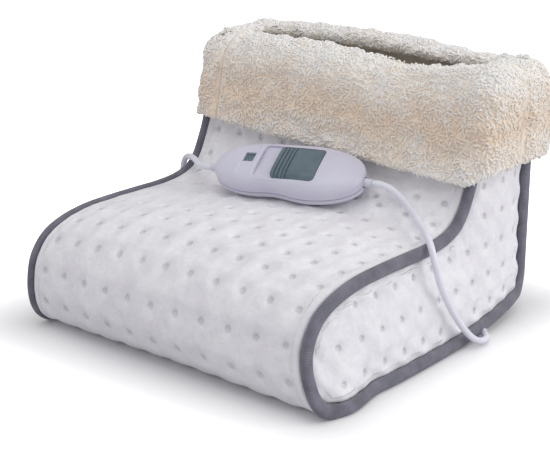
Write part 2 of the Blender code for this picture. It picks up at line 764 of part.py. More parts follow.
SEAM_SHARE = CUFF_SEAM_X / (BINDING_X - CUFF_CORNER)
half_gap_x = CUFF_SEAM_GAP / BINDING_X
half_gap_y = CUFF_SEAM_GAP / HEEL_LENGTH * 4
FRONT_ANGLE, RIGHT_ANGLE, BACK_ANGLE, LEFT_ANGLE = (math.radians(a) for a in (-90, 0, 90, 180))


def straight(first, last, steps=STRAIGHT_STEPS):
    """Stations along a straight side, between two stations of like angle."""
    return [tuple(a + (b - a) * step / steps for a, b in zip(first, last)) for step in range(1, steps)]


front_start = (-SEAM_SHARE, -1, FRONT_ANGLE)
front_right = corner(1, -1, FRONT_ANGLE, RIGHT_ANGLE)
right_end = (1, RIGHT_SEAM_SHARE - half_gap_y, RIGHT_ANGLE)
right_start = (1, RIGHT_SEAM_SHARE + half_gap_y, RIGHT_ANGLE)
back_right = corner(1, 1, RIGHT_ANGLE, BACK_ANGLE)
back_end = (-SEAM_SHARE, 1, BACK_ANGLE)
left_start = (-SEAM_SHARE - half_gap_x, 1, BACK_ANGLE)
back_left = corner(-1, 1, BACK_ANGLE, LEFT_ANGLE)
front_left = corner(-1, -1, LEFT_ANGLE, LEFT_ANGLE + BACK_ANGLE)
left_end = (-SEAM_SHARE - half_gap_x, -1, LEFT_ANGLE + BACK_ANGLE)
cuff("cuff_front", [front_start] + straight(front_start, front_right[0]) + front_right + [right_end])
cuff("cuff_back", [right_start] + back_right + straight(back_right[-1], back_end) + [back_end])
cuff("cuff_left", [left_start] + back_left + front_left + [left_end])

# The hand controller lies across the bend between the vamp and the front wall
controller = bpy.data.objects.new("controller_pose", None)
parts.objects.link(controller)
controller_y = TOE_LENGTH * CONTROLLER_WALL_SHARE - CONTROLLER_WALL_ROOM
controller_place = Matrix.Translation((CONTROLLER_X, controller_y, WALL_TOP - CONTROLLER_DROP))
controller.matrix_world = (
    controller_place @ Matrix.Rotation(CONTROLLER_YAW, 4, "Z")
    @ Matrix.Rotation(CONTROLLER_TILT, 4, "X") @ Matrix.Rotation(CONTROLLER_ROLL, 4, "Y"))
PARTING = BOTTOM_HEIGHT
TOP_START = PARTING + CLEARANCE
SCREW_TOP = PARTING + SCREW_RISE
BOARD_HIGH = BOARD_LOW + BOARD_THICKNESS


def pebble_width(length_share, side):
    """The controller's half width along its length, narrow at the waist and towards its left end."""
    waist = math.exp(-((length_share - WAIST_PLACE_SHARE) / WAIST_SPREAD_SHARE) ** 2)
    return (CONTROLLER_HALF_WIDTH - CONTROLLER_TAPER * (1 - length_share) / 2
            - CONTROLLER_WAIST * waist * (1.0 if side < 0 else FAR_WAIST_SHARE))


def signed_power(value, power):
    """A power that keeps its base's sign."""
    return math.copysign(abs(value) ** power, value)


def pebble_mesh(name, base, height, open_half=True):
    """Half of the rounded casing, above its base or below it, as an open skin or closed."""
    bm = bmesh.new()
    bmesh.ops.create_uvsphere(bm, u_segments=PEBBLE_SIDES, v_segments=PEBBLE_RINGS, radius=1.0)
    if open_half:
        spare = [v for v in bm.verts if v.co.z * height < -MERGE * abs(height)]
        bmesh.ops.delete(bm, geom=spare, context="VERTS")
    for vert in bm.verts:
        flat = math.hypot(vert.co.x, vert.co.y)
        angle = math.atan2(vert.co.y, vert.co.x)
        spread = min(1.0, flat / LIP_SHARE) ** (2 / PEBBLE_POWER)
        x_share = signed_power(math.cos(angle), 2 / OUTLINE_POWER) * spread
        y_share = signed_power(math.sin(angle), 2 / OUTLINE_POWER) * spread
        rise = signed_power(vert.co.z, 2 / PEBBLE_POWER) * abs(height)
        vert.co = (CONTROLLER_HALF_LENGTH * x_share, pebble_width(x_share, y_share) * y_share, base + rise)
    mesh = bpy.data.meshes.new(name)
    bm.to_mesh(mesh)
    bm.free()
    mesh.shade_smooth()
    return mesh


def add_wall(target):
    """Gives an open casing skin its moulded wall, inwards."""
    wall = target.modifiers.new("wall", "SOLIDIFY")
    wall.thickness = SHELL_WALL
    wall.offset = -1.0
    wall.use_even_offset = True


def pebble_height(x, y):
    """The height of the top shell's outer face over a place."""
    x_share = abs(x) / CONTROLLER_HALF_LENGTH
    y_share = abs(y) / pebble_width(x / CONTROLLER_HALF_LENGTH, y)
    spread = (x_share ** OUTLINE_POWER + y_share ** OUTLINE_POWER) ** (1 / OUTLINE_POWER)
    return TOP_START + TOP_HEIGHT * (1 - LIP_SHARE ** 2 * spread ** PEBBLE_POWER) ** (1 / PEBBLE_POWER)


# Screws, bosses, glands and their holes

bottom_shell = add("controller_bottom_shell", pebble_mesh("controller_bottom_shell", PARTING, -BOTTOM_HEIGHT),
                   SHELL_WHITE, 0.35, parent=controller)
add_wall(bottom_shell)
top_shell = add("controller_top_shell", pebble_mesh("controller_top_shell", TOP_START, TOP_HEIGHT),
                SHELL_WHITE, 0.35, parent=controller)
add_wall(top_shell)

wall_middle = SHELL_WALL / 2
for number, (x, y) in enumerate(SCREW_PLACES, 1):
    foot = (x, y, wall_middle)
    cut(bottom_shell, f"bottom_boss_{number}", rod_mesh(
        "boss", foot, (x, y, PARTING - CLEARANCE), BOSS_RADIUS), "UNION")
    cut(bottom_shell, f"head_hole_{number}", rod_mesh("hole", (x, y, -OVERRUN), (x, y, HEAD_SINK),
                                                      SCREW_HEAD_RADIUS + SCREW_EASE))
    cut(bottom_shell, f"shank_hole_{number}", rod_mesh("hole", (x, y, -OVERRUN), (x, y, PARTING + OVERRUN),
                                                       SCREW_RADIUS + SCREW_EASE))
    boss_top = pebble_height(x, y) - wall_middle
    cut(top_shell, f"top_boss_{number}", rod_mesh("boss", (x, y, TOP_START), (x, y, boss_top), BOSS_RADIUS),
        "UNION")
    cut(top_shell, f"screw_hole_{number}", rod_mesh("hole", (x, y, PARTING - OVERRUN),
                                                    (x, y, SCREW_TOP + SCREW_EASE), SCREW_RADIUS + SCREW_EASE))
for number, (x, y) in enumerate(POST_PLACES, 1):
    cut(bottom_shell, f"post_{number}", rod_mesh("post", (x, y, wall_middle), (x, y, BOARD_LOW - CLEARANCE),
                                                 POST_RADIUS, POST_SIDES), "UNION")
for side_name, side in (("right", 1), ("left", -1)):
    for shell in (bottom_shell, top_shell):
        cut(shell, side_name + "_gland_hole_" + shell.name.split("_")[1], rod_mesh(
            "gland_hole", (side * GLAND_INNER_X, 0, PARTING),
            (side * (CONTROLLER_HALF_LENGTH + OVERRUN), 0, PARTING), GLAND_RADIUS + CLEARANCE))
for number, (x, y) in enumerate(SCREW_PLACES, 1):
    screw_name = f"shell_screw_{number}"
    head_low = HEAD_SINK - CLEARANCE - SCREW_HEAD_HEIGHT
    screw = add(screw_name, rod_mesh(
        screw_name, (x, y, head_low), (x, y, HEAD_SINK - CLEARANCE), SCREW_HEAD_RADIUS),
        STEEL, 0.35, 1.0, controller)
    cut(screw, f"screw_shank_{number}", rod_mesh(
        "shank", (x, y, head_low + SCREW_HEAD_HEIGHT / 2), (x, y, SCREW_TOP), SCREW_RADIUS), "UNION")


def gland_mesh(name, side):
    """A turned strain relief along x: a flange inside, a neck in the wall and a tapered tail."""
    profile = ((0.0, GLAND_INNER_X), (GLAND_FLANGE_RADIUS, GLAND_INNER_X),
               (GLAND_FLANGE_RADIUS, GLAND_INNER_X + GLAND_FLANGE_WIDTH),
               (GLAND_RADIUS, GLAND_INNER_X + GLAND_FLANGE_WIDTH), (GLAND_RADIUS, CONTROLLER_HALF_LENGTH),
               (GLAND_TIP_RADIUS, GLAND_TIP_X), (0.0, GLAND_TIP_X))
    return turned_mesh(name, profile, Matrix.Translation((0, 0, PARTING)), side)


def turned_mesh(name, profile, place, side=1, sides=16):
    """A solid turned about the x axis from (radius, x) points, then put in its place."""
    bm = bmesh.new()
    points = [bm.verts.new((side * x, 0, radius)) for radius, x in profile]
    edges = [bm.edges.new(pair) for pair in zip(points, points[1:])]
    bmesh.ops.spin(bm, geom=points + edges, cent=(0, 0, 0), axis=(1, 0, 0), angle=math.radians(360),
                   steps=sides, use_merge=True)
    bmesh.ops.remove_doubles(bm, verts=bm.verts[:], dist=MERGE)
    bmesh.ops.transform(bm, matrix=place, verts=bm.verts[:])
    return to_mesh(name, bm, smooth=True)


add("gland_right", gland_mesh("gland_right", 1), FLEX_GREY, 0.5, parent=controller)
add("gland_left", gland_mesh("gland_left", -1), FLEX_GREY, 0.5, parent=controller)

# The slider, its bed in the top shell, and what it carries
bed_floor = TOP_START + TOP_HEIGHT - BED_DEPTH
bed_low = bed_floor - BED_THICKNESS
slider_left = SLIDER_CENTRE - SLIDER_LENGTH / 2
slider_right = SLIDER_CENTRE + SLIDER_LENGTH / 2


def rounded_plate(name, low, high, corner_radius):
    """A flat block whose upright edges are rounded."""
    bm = bmesh.new()
    bmesh.ops.create_cube(bm, size=1.0)
    low, high = Vector(low), Vector(high)
    for vert in bm.verts:
        vert.co = (low + high) / 2 + vert.co * (high - low)
    upright = [e for e in bm.edges if abs(e.verts[0].co.z - e.verts[1].co.z) > MERGE]
    bmesh.ops.bevel(bm, geom=upright, offset=corner_radius, segments=4, profile=0.5, affect="EDGES")
    return to_mesh(name, bm)


half_slider = SLIDER_WIDTH / 2
pocket_left = slider_left - SLIDER_TRAVEL - SLIDE_GAP
pocket_right = slider_right + SLIDE_GAP
pocket_half = half_slider + SLIDE_GAP
high_over = TOP_START + TOP_HEIGHT + OVERRUN
cut(top_shell, "bed_block", rounded_plate(
    "bed_block", (pocket_left - BED_MARGIN, -pocket_half - BED_MARGIN, bed_low),
    (pocket_right + BED_MARGIN, pocket_half + BED_MARGIN, bed_floor + CLEARANCE), SLIDER_CORNER), "UNION")
cut(top_shell, "slider_pocket", rounded_plate(
    "slider_pocket", (pocket_left, -pocket_half, bed_floor), (pocket_right, pocket_half, high_over),
    SLIDER_CORNER))
cut(top_shell, "stem_slit", box_mesh(
    "stem_slit", (SLIDER_CENTRE - STEM_HALF_LENGTH - SLIDER_TRAVEL - SLIDE_GAP, -STEM_HALF_WIDTH - SLIDE_GAP,
                  bed_low - OVERRUN),
    (SLIDER_CENTRE + STEM_HALF_LENGTH + SLIDE_GAP, STEM_HALF_WIDTH + SLIDE_GAP, high_over)))
window_x, window_y = WINDOW_CENTRE
window_half_x, window_half_y = WINDOW_SIZE[0] / 2, WINDOW_SIZE[1] / 2
window_top = pebble_height(window_x - window_half_x, window_y + window_half_y)
cut(top_shell, "window_hole", box_mesh(
    "window_hole", (window_x - window_half_x - CLEARANCE, window_y - window_half_y - CLEARANCE, bed_low),
    (window_x + window_half_x + CLEARANCE, window_y + window_half_y + CLEARANCE, high_over)))
lens_top = window_top - LENS_SINK
add("window_lens", box_mesh(
    "window_lens", (window_x - window_half_x, window_y - window_half_y, lens_top - LENS_THICKNESS),
    (window_x + window_half_x, window_y + window_half_y, lens_top)), LENS_GREY, 0.1, parent=controller)

foot_high = bed_low - CLEARANCE
foot_low = foot_high - FOOT_THICKNESS
strip_high = foot_low - CLEARANCE
strip_low = strip_high - STRIP_THICKNESS
slider = add("controller_slider", rounded_plate(
    "controller_slider", (slider_left, -half_slider, bed_floor + CLEARANCE),
    (slider_right, half_slider, high_over), SLIDER_CORNER), SLIDER_GREY, 0.45, parent=controller)
cut(slider, "slider_crown", pebble_mesh(
    "slider_crown", TOP_START, TOP_HEIGHT + SLIDER_PROUD, open_half=False), "INTERSECT")
cut(slider, "slider_stem", box_mesh(
    "slider_stem", (SLIDER_CENTRE - STEM_HALF_LENGTH, -STEM_HALF_WIDTH, foot_low + FOOT_THICKNESS / 2),
    (SLIDER_CENTRE + STEM_HALF_LENGTH, STEM_HALF_WIDTH, bed_floor + SLIDER_PROUD)), "UNION")
cut(slider, "slider_foot", box_mesh(
    "slider_foot", (SLIDER_CENTRE - FOOT_HALF_LENGTH, -FOOT_HALF_WIDTH, foot_low),
    (SLIDER_CENTRE + FOOT_HALF_LENGTH, FOOT_HALF_WIDTH, foot_high)), "UNION")
for number in range(GROOVE_COUNT):
    groove_x = slider_left + GROOVE_PITCH * (number + 1)
    cut(slider, f"slider_groove_{number + 1}", box_mesh(
        "slider_groove", (groove_x, -half_slider - OVERRUN, TOP_START + TOP_HEIGHT - GROOVE_DEPTH),
        (groove_x + GROOVE_WIDTH, half_slider + OVERRUN, high_over)))
add("number_strip", box_mesh(
    "number_strip", (window_x - window_half_x - SLIDE_GAP, window_y - window_half_y - SLIDE_GAP, strip_low),
    (SLIDER_CENTRE - FOOT_HALF_LENGTH + STRIP_LAP, window_y + window_half_y + SLIDE_GAP, strip_high)),
    STRIP_BLUE, 0.6, parent=controller)

# The board and what stands on it
add("circuit_board", box_mesh(
    "circuit_board", (-BOARD_HALF_LENGTH, -BOARD_HALF_WIDTH, BOARD_LOW),
    (BOARD_HALF_LENGTH, BOARD_HALF_WIDTH, BOARD_HIGH)), BOARD_GREEN, 0.5, parent=controller)
plate_low = BOARD_HIGH + CLEARANCE
plate_high = plate_low + PLATE_THICKNESS
plate_right = SLIDER_CENTRE + SPRING_LAP
plate_left = SLIDER_CENTRE - SPRING_REACH - SLIDER_TRAVEL - SPRING_LAP
add("contact_plate", box_mesh(
    "contact_plate", (plate_left, CONTACT_Y - 2 * CONTACT_HALF_WIDTH, plate_low),
    (plate_right, CONTACT_Y + 2 * CONTACT_HALF_WIDTH, plate_high)), BRASS, 0.4, 1.0, controller)
spring_bm = bmesh.new()
spring_top = foot_low - CLEARANCE - SPRING_THICKNESS / 2
spring_low = plate_high + CLEARANCE + SPRING_THICKNESS / 2
spring_line = ((SLIDER_CENTRE + SPRING_LAP, spring_top), (SLIDER_CENTRE, spring_top),
               (SLIDER_CENTRE - SPRING_REACH + SPRING_LAP / 2, spring_low),
               (SLIDER_CENTRE - SPRING_REACH, spring_low))
near = [spring_bm.verts.new((x, CONTACT_Y - CONTACT_HALF_WIDTH, z)) for x, z in spring_line]
far = [spring_bm.verts.new((x, CONTACT_Y + CONTACT_HALF_WIDTH, z)) for x, z in spring_line]
for a, b, c, d in zip(near, near[1:], far[1:], far):
    spring_bm.faces.new((a, b, c, d))
contact_spring = add("contact_spring", to_mesh("contact_spring", spring_bm), BRASS, 0.3, 1.0, controller)
leaf = contact_spring.modifiers.new("leaf", "SOLIDIFY")
leaf.thickness = SPRING_THICKNESS
leaf.offset = 0.0
triac_x, triac_y = TRIAC_LOW
add("triac", box_mesh(
    "triac", (triac_x, triac_y, plate_low),
    (triac_x + TRIAC_SIZE[0], triac_y + TRIAC_SIZE[1], plate_low + TRIAC_SIZE[2])),
    TRIAC_BLACK, 0.4, parent=controller)
capacitor_height = plate_low + CAPACITOR_RADIUS
add("capacitor", rod_mesh(
    "capacitor", (CAPACITOR_ENDS[0], CAPACITOR_Y, capacitor_height),
    (CAPACITOR_ENDS[1], CAPACITOR_Y, capacitor_height), CAPACITOR_RADIUS),
    CAPACITOR_YELLOW, 0.4, parent=controller)


def settle(casing, carrier):
    """Lets the controller down until its casing lies a clearance above the panel."""
    bpy.context.view_layer.update()
    graph = bpy.context.evaluated_depsgraph_get()
    meshes = []
    for solid in (casing, carrier):
        mesh = solid.evaluated_get(graph).to_mesh()
        points = [solid.matrix_world @ vert.co for vert in mesh.vertices]
        tree = BVHTree.FromPolygons(points, [tuple(face.vertices) for face in mesh.polygons])
        for edge in mesh.edges:
            first, last = (points[number] for number in edge.vertices)
            points += [first.lerp(last, step / EDGE_PROBES) for step in range(1, EDGE_PROBES)]
        meshes.append((points, tree))
    (casing_points, casing_tree), (carrier_points, carrier_tree) = meshes
    down = Vector((0, 0, -1))
    drops = []
    for points, tree, way in ((casing_points, carrier_tree, down), (carrier_points, casing_tree, -down)):
        for point in points:
            hit = tree.ray_cast(point, way)[0]
            if hit:
                drops.append((hit - point).length)
    controller.location.z -= min(drops) - CLEARANCE
    bpy.context.view_layer.update()


settle(bottom_shell, vamp_panel)

# The gland under the right side tape, where the lead enters the sole
gland_middle = on_tape((sole_gland_y, SEAM_DEPTH))
gland_way = Vector((math.cos(SOLE_GLAND_TURN), math.sin(SOLE_GLAND_TURN), 0))
gland_tip = Vector((gland_middle.x, gland_middle.y, SOLE_GLAND_HEIGHT))
gland_tip += gland_way * (BINDING_RADIUS / math.cos(SOLE_GLAND_TURN) + SOLE_GLAND_PROUD)
gland_place = Matrix.Translation(gland_tip) @ Matrix.Rotation(SOLE_GLAND_TURN, 4, "Z")
add("sole_cord_gland", turned_mesh("sole_cord_gland", (
    (0.0, -SOLE_GLAND_LENGTH), (SOLE_GLAND_RADIUS, -SOLE_GLAND_LENGTH), (SOLE_GLAND_RADIUS, -SOLE_GLAND_TAPER),
    (SOLE_GLAND_TIP_RADIUS, 0.0), (0.0, 0.0)), gland_place), FLEX_GREY, 0.5)
channel_half = SOLE_GLAND_RADIUS + CLEARANCE
channel = box_mesh("gland_channel", (-SOLE_GLAND_LENGTH - channel_half, -channel_half, -channel_half),
                   (BINDING_RADIUS, channel_half, PANEL_THICKNESS))
channel.transform(gland_place)
cut(sole_panel, "gland_channel", channel)

# The junction in the sole, the lead into it, and the heater's thermostat and fuse
junction_x = wire_half_span - JUNCTION_SIDE_ROOM
junction_y = HEEL_LENGTH - JUNCTION_REAR_INSET
junction_high = PANEL_THICKNESS
add("junction_base", rounded_plate(
    "junction_base", (junction_x - JUNCTION_HALF_LENGTH, junction_y - JUNCTION_HALF_WIDTH, JUNCTION_LOW),
    (junction_x + JUNCTION_HALF_LENGTH, junction_y + JUNCTION_HALF_WIDTH, junction_high), JUNCTION_CORNER),
    CASE_BLACK, 0.5)
gland_inner = gland_tip - gland_way * SOLE_GLAND_LENGTH
pocket_length = JUNCTION_HALF_LENGTH + CLEARANCE
pocket_width = JUNCTION_HALF_WIDTH + CLEARANCE
cut(sole_panel, "junction_pocket", box_mesh(
    "junction_pocket", (junction_x - pocket_length, junction_y - pocket_width, JUNCTION_LOW - CLEARANCE),
    (gland_inner.x, junction_y + pocket_width, PANEL_THICKNESS + OVERRUN)))
lid_high = foam_high - LID_EASE
add("junction_lid", rounded_plate(
    "junction_lid", (junction_x - JUNCTION_HALF_LENGTH, junction_y - JUNCTION_HALF_WIDTH, foam_low),
    (junction_x + JUNCTION_HALF_LENGTH, junction_y + JUNCTION_HALF_WIDTH, lid_high), JUNCTION_CORNER),
    CASE_BLACK, 0.5)
cut(sole_foam, "lid_hole", box_mesh(
    "lid_hole", (junction_x - pocket_length, junction_y - pocket_width, foam_low - OVERRUN),
    (junction_x + pocket_length, junction_y + pocket_width, foam_high + OVERRUN)))
thermostat_x, thermostat_y = THERMOSTAT_PLACE
add("thermostat", rod_mesh(
    "thermostat", (thermostat_x, thermostat_y, foam_low), (thermostat_x, thermostat_y, lid_high),
    THERMOSTAT_RADIUS), STEEL, 0.4, 1.0)
cut(sole_foam, "thermostat_hole", rod_mesh(
    "thermostat_hole", (thermostat_x, thermostat_y, foam_low - OVERRUN),
    (thermostat_x, thermostat_y, foam_high + OVERRUN), THERMOSTAT_RADIUS + CLEARANCE))
fuse_height = foam_low + FUSE_RADIUS
add("thermal_fuse", rod_mesh(
    "thermal_fuse", (FUSE_ENDS[0], thermostat_y, fuse_height), (FUSE_ENDS[1], thermostat_y, fuse_height),
    FUSE_RADIUS), FUSE_CREAM, 0.4)
fuse_room = FUSE_RADIUS + CLEARANCE
cut(sole_foam, "fuse_hole", box_mesh(
    "fuse_hole", (FUSE_ENDS[0] - CLEARANCE, thermostat_y - fuse_room, foam_low - OVERRUN),
    (FUSE_ENDS[1] + CLEARANCE, thermostat_y + fuse_room, foam_high + OVERRUN)))


def free_cord(name, start, middle, end, radius):
    """A free flex: straight off both its ends, and a smooth curve through its other points."""
    line = smooth_line([start[1]] + [Vector(point) for point in middle] + [end[0]], FINE_STEPS)
    tube(name, [start[0]] + spaced(line, CORD_STEP * radius) + [end[1]], radius, FLEX_GREY, 0.5)


gland_start = gland_inner - gland_way * CLEARANCE
lead_end = Vector((junction_x + JUNCTION_HALF_LENGTH + CLEARANCE, junction_y, SOLE_GLAND_HEIGHT))
lead_run = lead_end - gland_start
inner_middle = [gland_start + Vector((lead_run.x * across, lead_run.y * along, 0))
                for across, along in INNER_LEAD_SHARES]
free_cord("inner_lead", (gland_start, gland_start - gland_way * INNER_LEAD_RADIUS), inner_middle,
          (lead_end + Vector((2 * INNER_LEAD_RADIUS, 0, 0)), lead_end), INNER_LEAD_RADIUS)

# The lead from the controller over the vamp's right edge to the sole's gland
CORD_DIAMETER = 2 * CORD_RADIUS
out_right = controller.matrix_world.to_3x3() @ Vector((1, 0, 0))
right_exit = controller.matrix_world @ Vector((GLAND_TIP_X + CLEARANCE, 0, PARTING))
sole_entry = gland_tip + gland_way * CLEARANCE
free_cord("controller_lead", (right_exit, right_exit + out_right * CORD_DIAMETER), (
    (0.0815, 0.0283, 0.1192), (0.0910, 0.0282, 0.1153), (0.1010, 0.0253, 0.1103), (0.1115, 0.0188, 0.1062),
    (0.1220, 0.0110, 0.1030), (0.1320, 0.0030, 0.1008), (0.1413, -0.0048, 0.0986), (0.1490, -0.0107, 0.0936),
    (0.1540, -0.0133, 0.0845), (0.1570, -0.0122, 0.0725), (0.1591, -0.0075, 0.0585), (0.1611, 0.0000, 0.0445),
    (0.1634, 0.0092, 0.0305), (0.1658, 0.0185, 0.0188), (0.1677, 0.0275, 0.0102), (0.1688, 0.0357, 0.0058),
    (0.1690, 0.0420, 0.0047), (0.1681, 0.0466, 0.0048)), (sole_entry + gland_way * CORD_RADIUS, sole_entry),
    CORD_RADIUS)


# The mains lead's spare length, wound up on the floor behind the boot
def coil_points():
    """Two layers of turns: a spiral in on the floor, and a spiral out again on top of it."""
    turns = 2 * COIL_TURNS
    count = round(turns * TURN_POINTS)
    points = []
    for step in range(count + 1):
        turn = turns * step / count
        radius = coil_inner + COIL_PITCH * abs(turn - COIL_TURNS)
        climb = min(max(turn - COIL_TURNS + CLIMB_TURNS / 2, 0.0) / CLIMB_TURNS, 1.0)
        points.append(Vector((coil_x + radius * math.cos(math.tau * turn),
                              coil_y + radius * math.sin(math.tau * turn), coil_low + COIL_PITCH * climb)))
    return points


def least_gap(points, apart):
    """The least distance between a coiled flex's turns, from surface to surface."""
    least = math.inf
    for number, point in enumerate(points):
        for other in points[number + apart:]:
            least = min(least, (other - point).length)
    return least - CORD_DIAMETER


along_y = Vector((0, 1, 0))
coil_x = -(STRIP_HALF_WIDTH + COIL_SIDE_ROOM)
coil_y = HEEL_LENGTH - COIL_REAR_INSET
coil_inner = COIL_MID_RADIUS - COIL_PITCH * COIL_TURNS / 2
coil_low = CORD_RADIUS + CLEARANCE
plug_height = PLUG_HALF_THICKNESS + CLEARANCE
wound = coil_points()
tail = []
for step in range(1, TAIL_STEPS + 1):
    point = wound[-1] + along_y * COIL_TAIL * step / TAIL_STEPS
    point.z += (plug_height - point.z) * smoothstep(step / TAIL_STEPS, TAIL_LEVEL_SHARE, 1.0)
    tail.append(point)
coil_end = tail[-1] + along_y * CORD_DIAMETER
coil_line = [wound[0] - along_y * CORD_DIAMETER] + wound + tail + [coil_end]
print(f"mains_lead_coil: least gap between its turns {least_gap(coil_line, TURN_POINTS // 2) * 1000:.2f} mm")
tube("mains_lead_coil", coil_line, CORD_RADIUS, FLEX_GREY, 0.5, resolution=1)

# The mains lead's free stretch, from the controller over the vamp's left edge to the coil
out_left = -out_right
left_exit = controller.matrix_world @ Vector((-GLAND_TIP_X - CLEARANCE, 0, PARTING))
coil_entry = coil_line[0] - along_y * CLEARANCE
free_cord("mains_lead", (left_exit, left_exit + out_left * CORD_DIAMETER), (
    (-0.0900, -0.0065, 0.1150), (-0.0980, -0.0017, 0.1143), (-0.1065, 0.0060, 0.1130), (-0.1158, 0.0140, 0.1118),
    (-0.1255, 0.0215, 0.1103), (-0.1350, 0.0283, 0.1085), (-0.1440, 0.0340, 0.1055), (-0.1514, 0.0383, 0.0997),
    (-0.1562, 0.0415, 0.0905), (-0.1584, 0.0435, 0.0785), (-0.1597, 0.0455, 0.0655), (-0.1613, 0.0475, 0.0515),
    (-0.1638, 0.0498, 0.0375), (-0.1675, 0.0528, 0.0248), (-0.1717, 0.0566, 0.0146), (-0.1757, 0.0617, 0.0076),
    (-0.1790, 0.0685, 0.0041), (-0.1808, 0.0755, 0.0031)), (coil_entry - along_y * CORD_DIAMETER, coil_entry),
    CORD_RADIUS)

# The plug, lying beside the coil
plug_x = coil_end.x
relief_start = coil_end.y + CLEARANCE
plug_turn = Matrix.Translation((plug_x, relief_start, plug_height)) @ Matrix.Rotation(math.radians(90), 4, "Z")
add("plug_strain_relief", turned_mesh("plug_strain_relief", (
    (0.0, 0.0), (GLAND_TIP_RADIUS, 0.0), (RELIEF_RADIUS, RELIEF_LENGTH), (0.0, RELIEF_LENGTH)), plug_turn),
    FLEX_GREY, 0.5)
plug_start = relief_start + RELIEF_LENGTH + CLEARANCE
plug_end = plug_start + PLUG_LENGTH
plug_mesh = bmesh.new()
bmesh.ops.create_cube(plug_mesh, size=2.0)
for vert in plug_mesh.verts:
    shoulder = PLUG_SHOULDER_SHARE if vert.co.y < 0 else 1.0
    vert.co = Vector((plug_x + vert.co.x * PLUG_HALF_WIDTH * shoulder,
                      plug_start + (vert.co.y + 1) / 2 * PLUG_LENGTH,
                      plug_height + vert.co.z * PLUG_HALF_THICKNESS))
bmesh.ops.bevel(plug_mesh, geom=plug_mesh.edges[:], offset=PLUG_ROUNDING, segments=2, profile=0.5,
                affect="EDGES")
plug_body = add("plug_body", to_mesh("plug_body", plug_mesh), FLEX_GREY, 0.5)
for number, pin_side in enumerate((-1, 1), 1):
    pin_x = plug_x + pin_side * PIN_HALF_PITCH
    inner = (pin_x, plug_end - PIN_DEPTH, plug_height)
    cut(plug_body, f"pin_hole_{number}", rod_mesh(
        "pin_hole", (pin_x, plug_end - PIN_DEPTH - CLEARANCE, plug_height),
        (pin_x, plug_end + OVERRUN, plug_height), PIN_RADIUS + CLEARANCE))
    add(f"plug_pin_{number}", rod_mesh(
        f"plug_pin_{number}", inner, (pin_x, plug_end + PIN_LENGTH, plug_height), PIN_RADIUS),
        PIN_STEEL, 0.25, 1.0)
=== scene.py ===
"""Looks of the electric foot warmer: its quilting, tape, sherpa, controller and flexes.

Metres, +Z up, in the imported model's frame. The toe points to -Y and the heel to +Y.
"""
import math

import bmesh
import bpy
from mathutils import Matrix, Vector, noise
from mathutils.bvhtree import BVHTree
from mathutils.geometry import delaunay_2d_cdt


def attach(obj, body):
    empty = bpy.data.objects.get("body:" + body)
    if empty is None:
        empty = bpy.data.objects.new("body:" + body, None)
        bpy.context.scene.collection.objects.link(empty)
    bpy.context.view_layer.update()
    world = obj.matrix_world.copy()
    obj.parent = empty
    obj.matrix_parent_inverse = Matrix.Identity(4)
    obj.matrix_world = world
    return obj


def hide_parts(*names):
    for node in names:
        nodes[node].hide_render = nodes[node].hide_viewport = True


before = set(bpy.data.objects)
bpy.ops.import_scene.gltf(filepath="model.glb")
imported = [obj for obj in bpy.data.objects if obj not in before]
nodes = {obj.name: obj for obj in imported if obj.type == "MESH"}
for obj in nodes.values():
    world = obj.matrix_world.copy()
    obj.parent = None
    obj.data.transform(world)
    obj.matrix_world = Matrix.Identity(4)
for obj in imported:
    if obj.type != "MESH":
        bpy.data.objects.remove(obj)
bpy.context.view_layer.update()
world_collection = bpy.context.scene.collection

# The camera, level and 1.2 m off, a little above the boot and to the right of its toe,
# with a lens that sees 22 degrees across.
camera = bpy.data.objects.new("camera", bpy.data.cameras.new("camera"))
camera.data.lens = 91.7
camera.data.sensor_width = 36.0
camera.location = (0.6960, -0.8727, 0.4378)
camera_aim = Vector((-0.0132, 0.0, 0.0724)) - camera.location
camera.rotation_euler = camera_aim.to_track_quat("-Z", "Y").to_euler()
world_collection.objects.link(camera)
bpy.context.scene.camera = camera

# The lead from the controller to the sole: pale lilac-white PVC flex, 5.4 mm thick, smooth
# and slightly glossy. It leaves a moulded gland, bends down over the tape and ends in the
# gland under it.


class Shade:
    """A value in a material's nodes, which ordinary sums work on."""

    def __init__(self, finish, socket):
        self.finish = finish
        self.socket = socket

    def maths(self, operation, *values):
        return self.finish.node("ShaderNodeMath", {"operation": operation}, dict(enumerate(values)))

    def __add__(self, other):
        return self.maths("ADD", self, other)

    def __radd__(self, other):
        return self.maths("ADD", other, self)

    def __sub__(self, other):
        return self.maths("SUBTRACT", self, other)

    def __rsub__(self, other):
        return self.maths("SUBTRACT", other, self)

    def __mul__(self, other):
        return self.maths("MULTIPLY", self, other)

    def __rmul__(self, other):
        return self.maths("MULTIPLY", other, self)

    def __truediv__(self, other):
        return self.maths("DIVIDE", self, other)

    def __pow__(self, other):
        return self.maths("POWER", self, other)


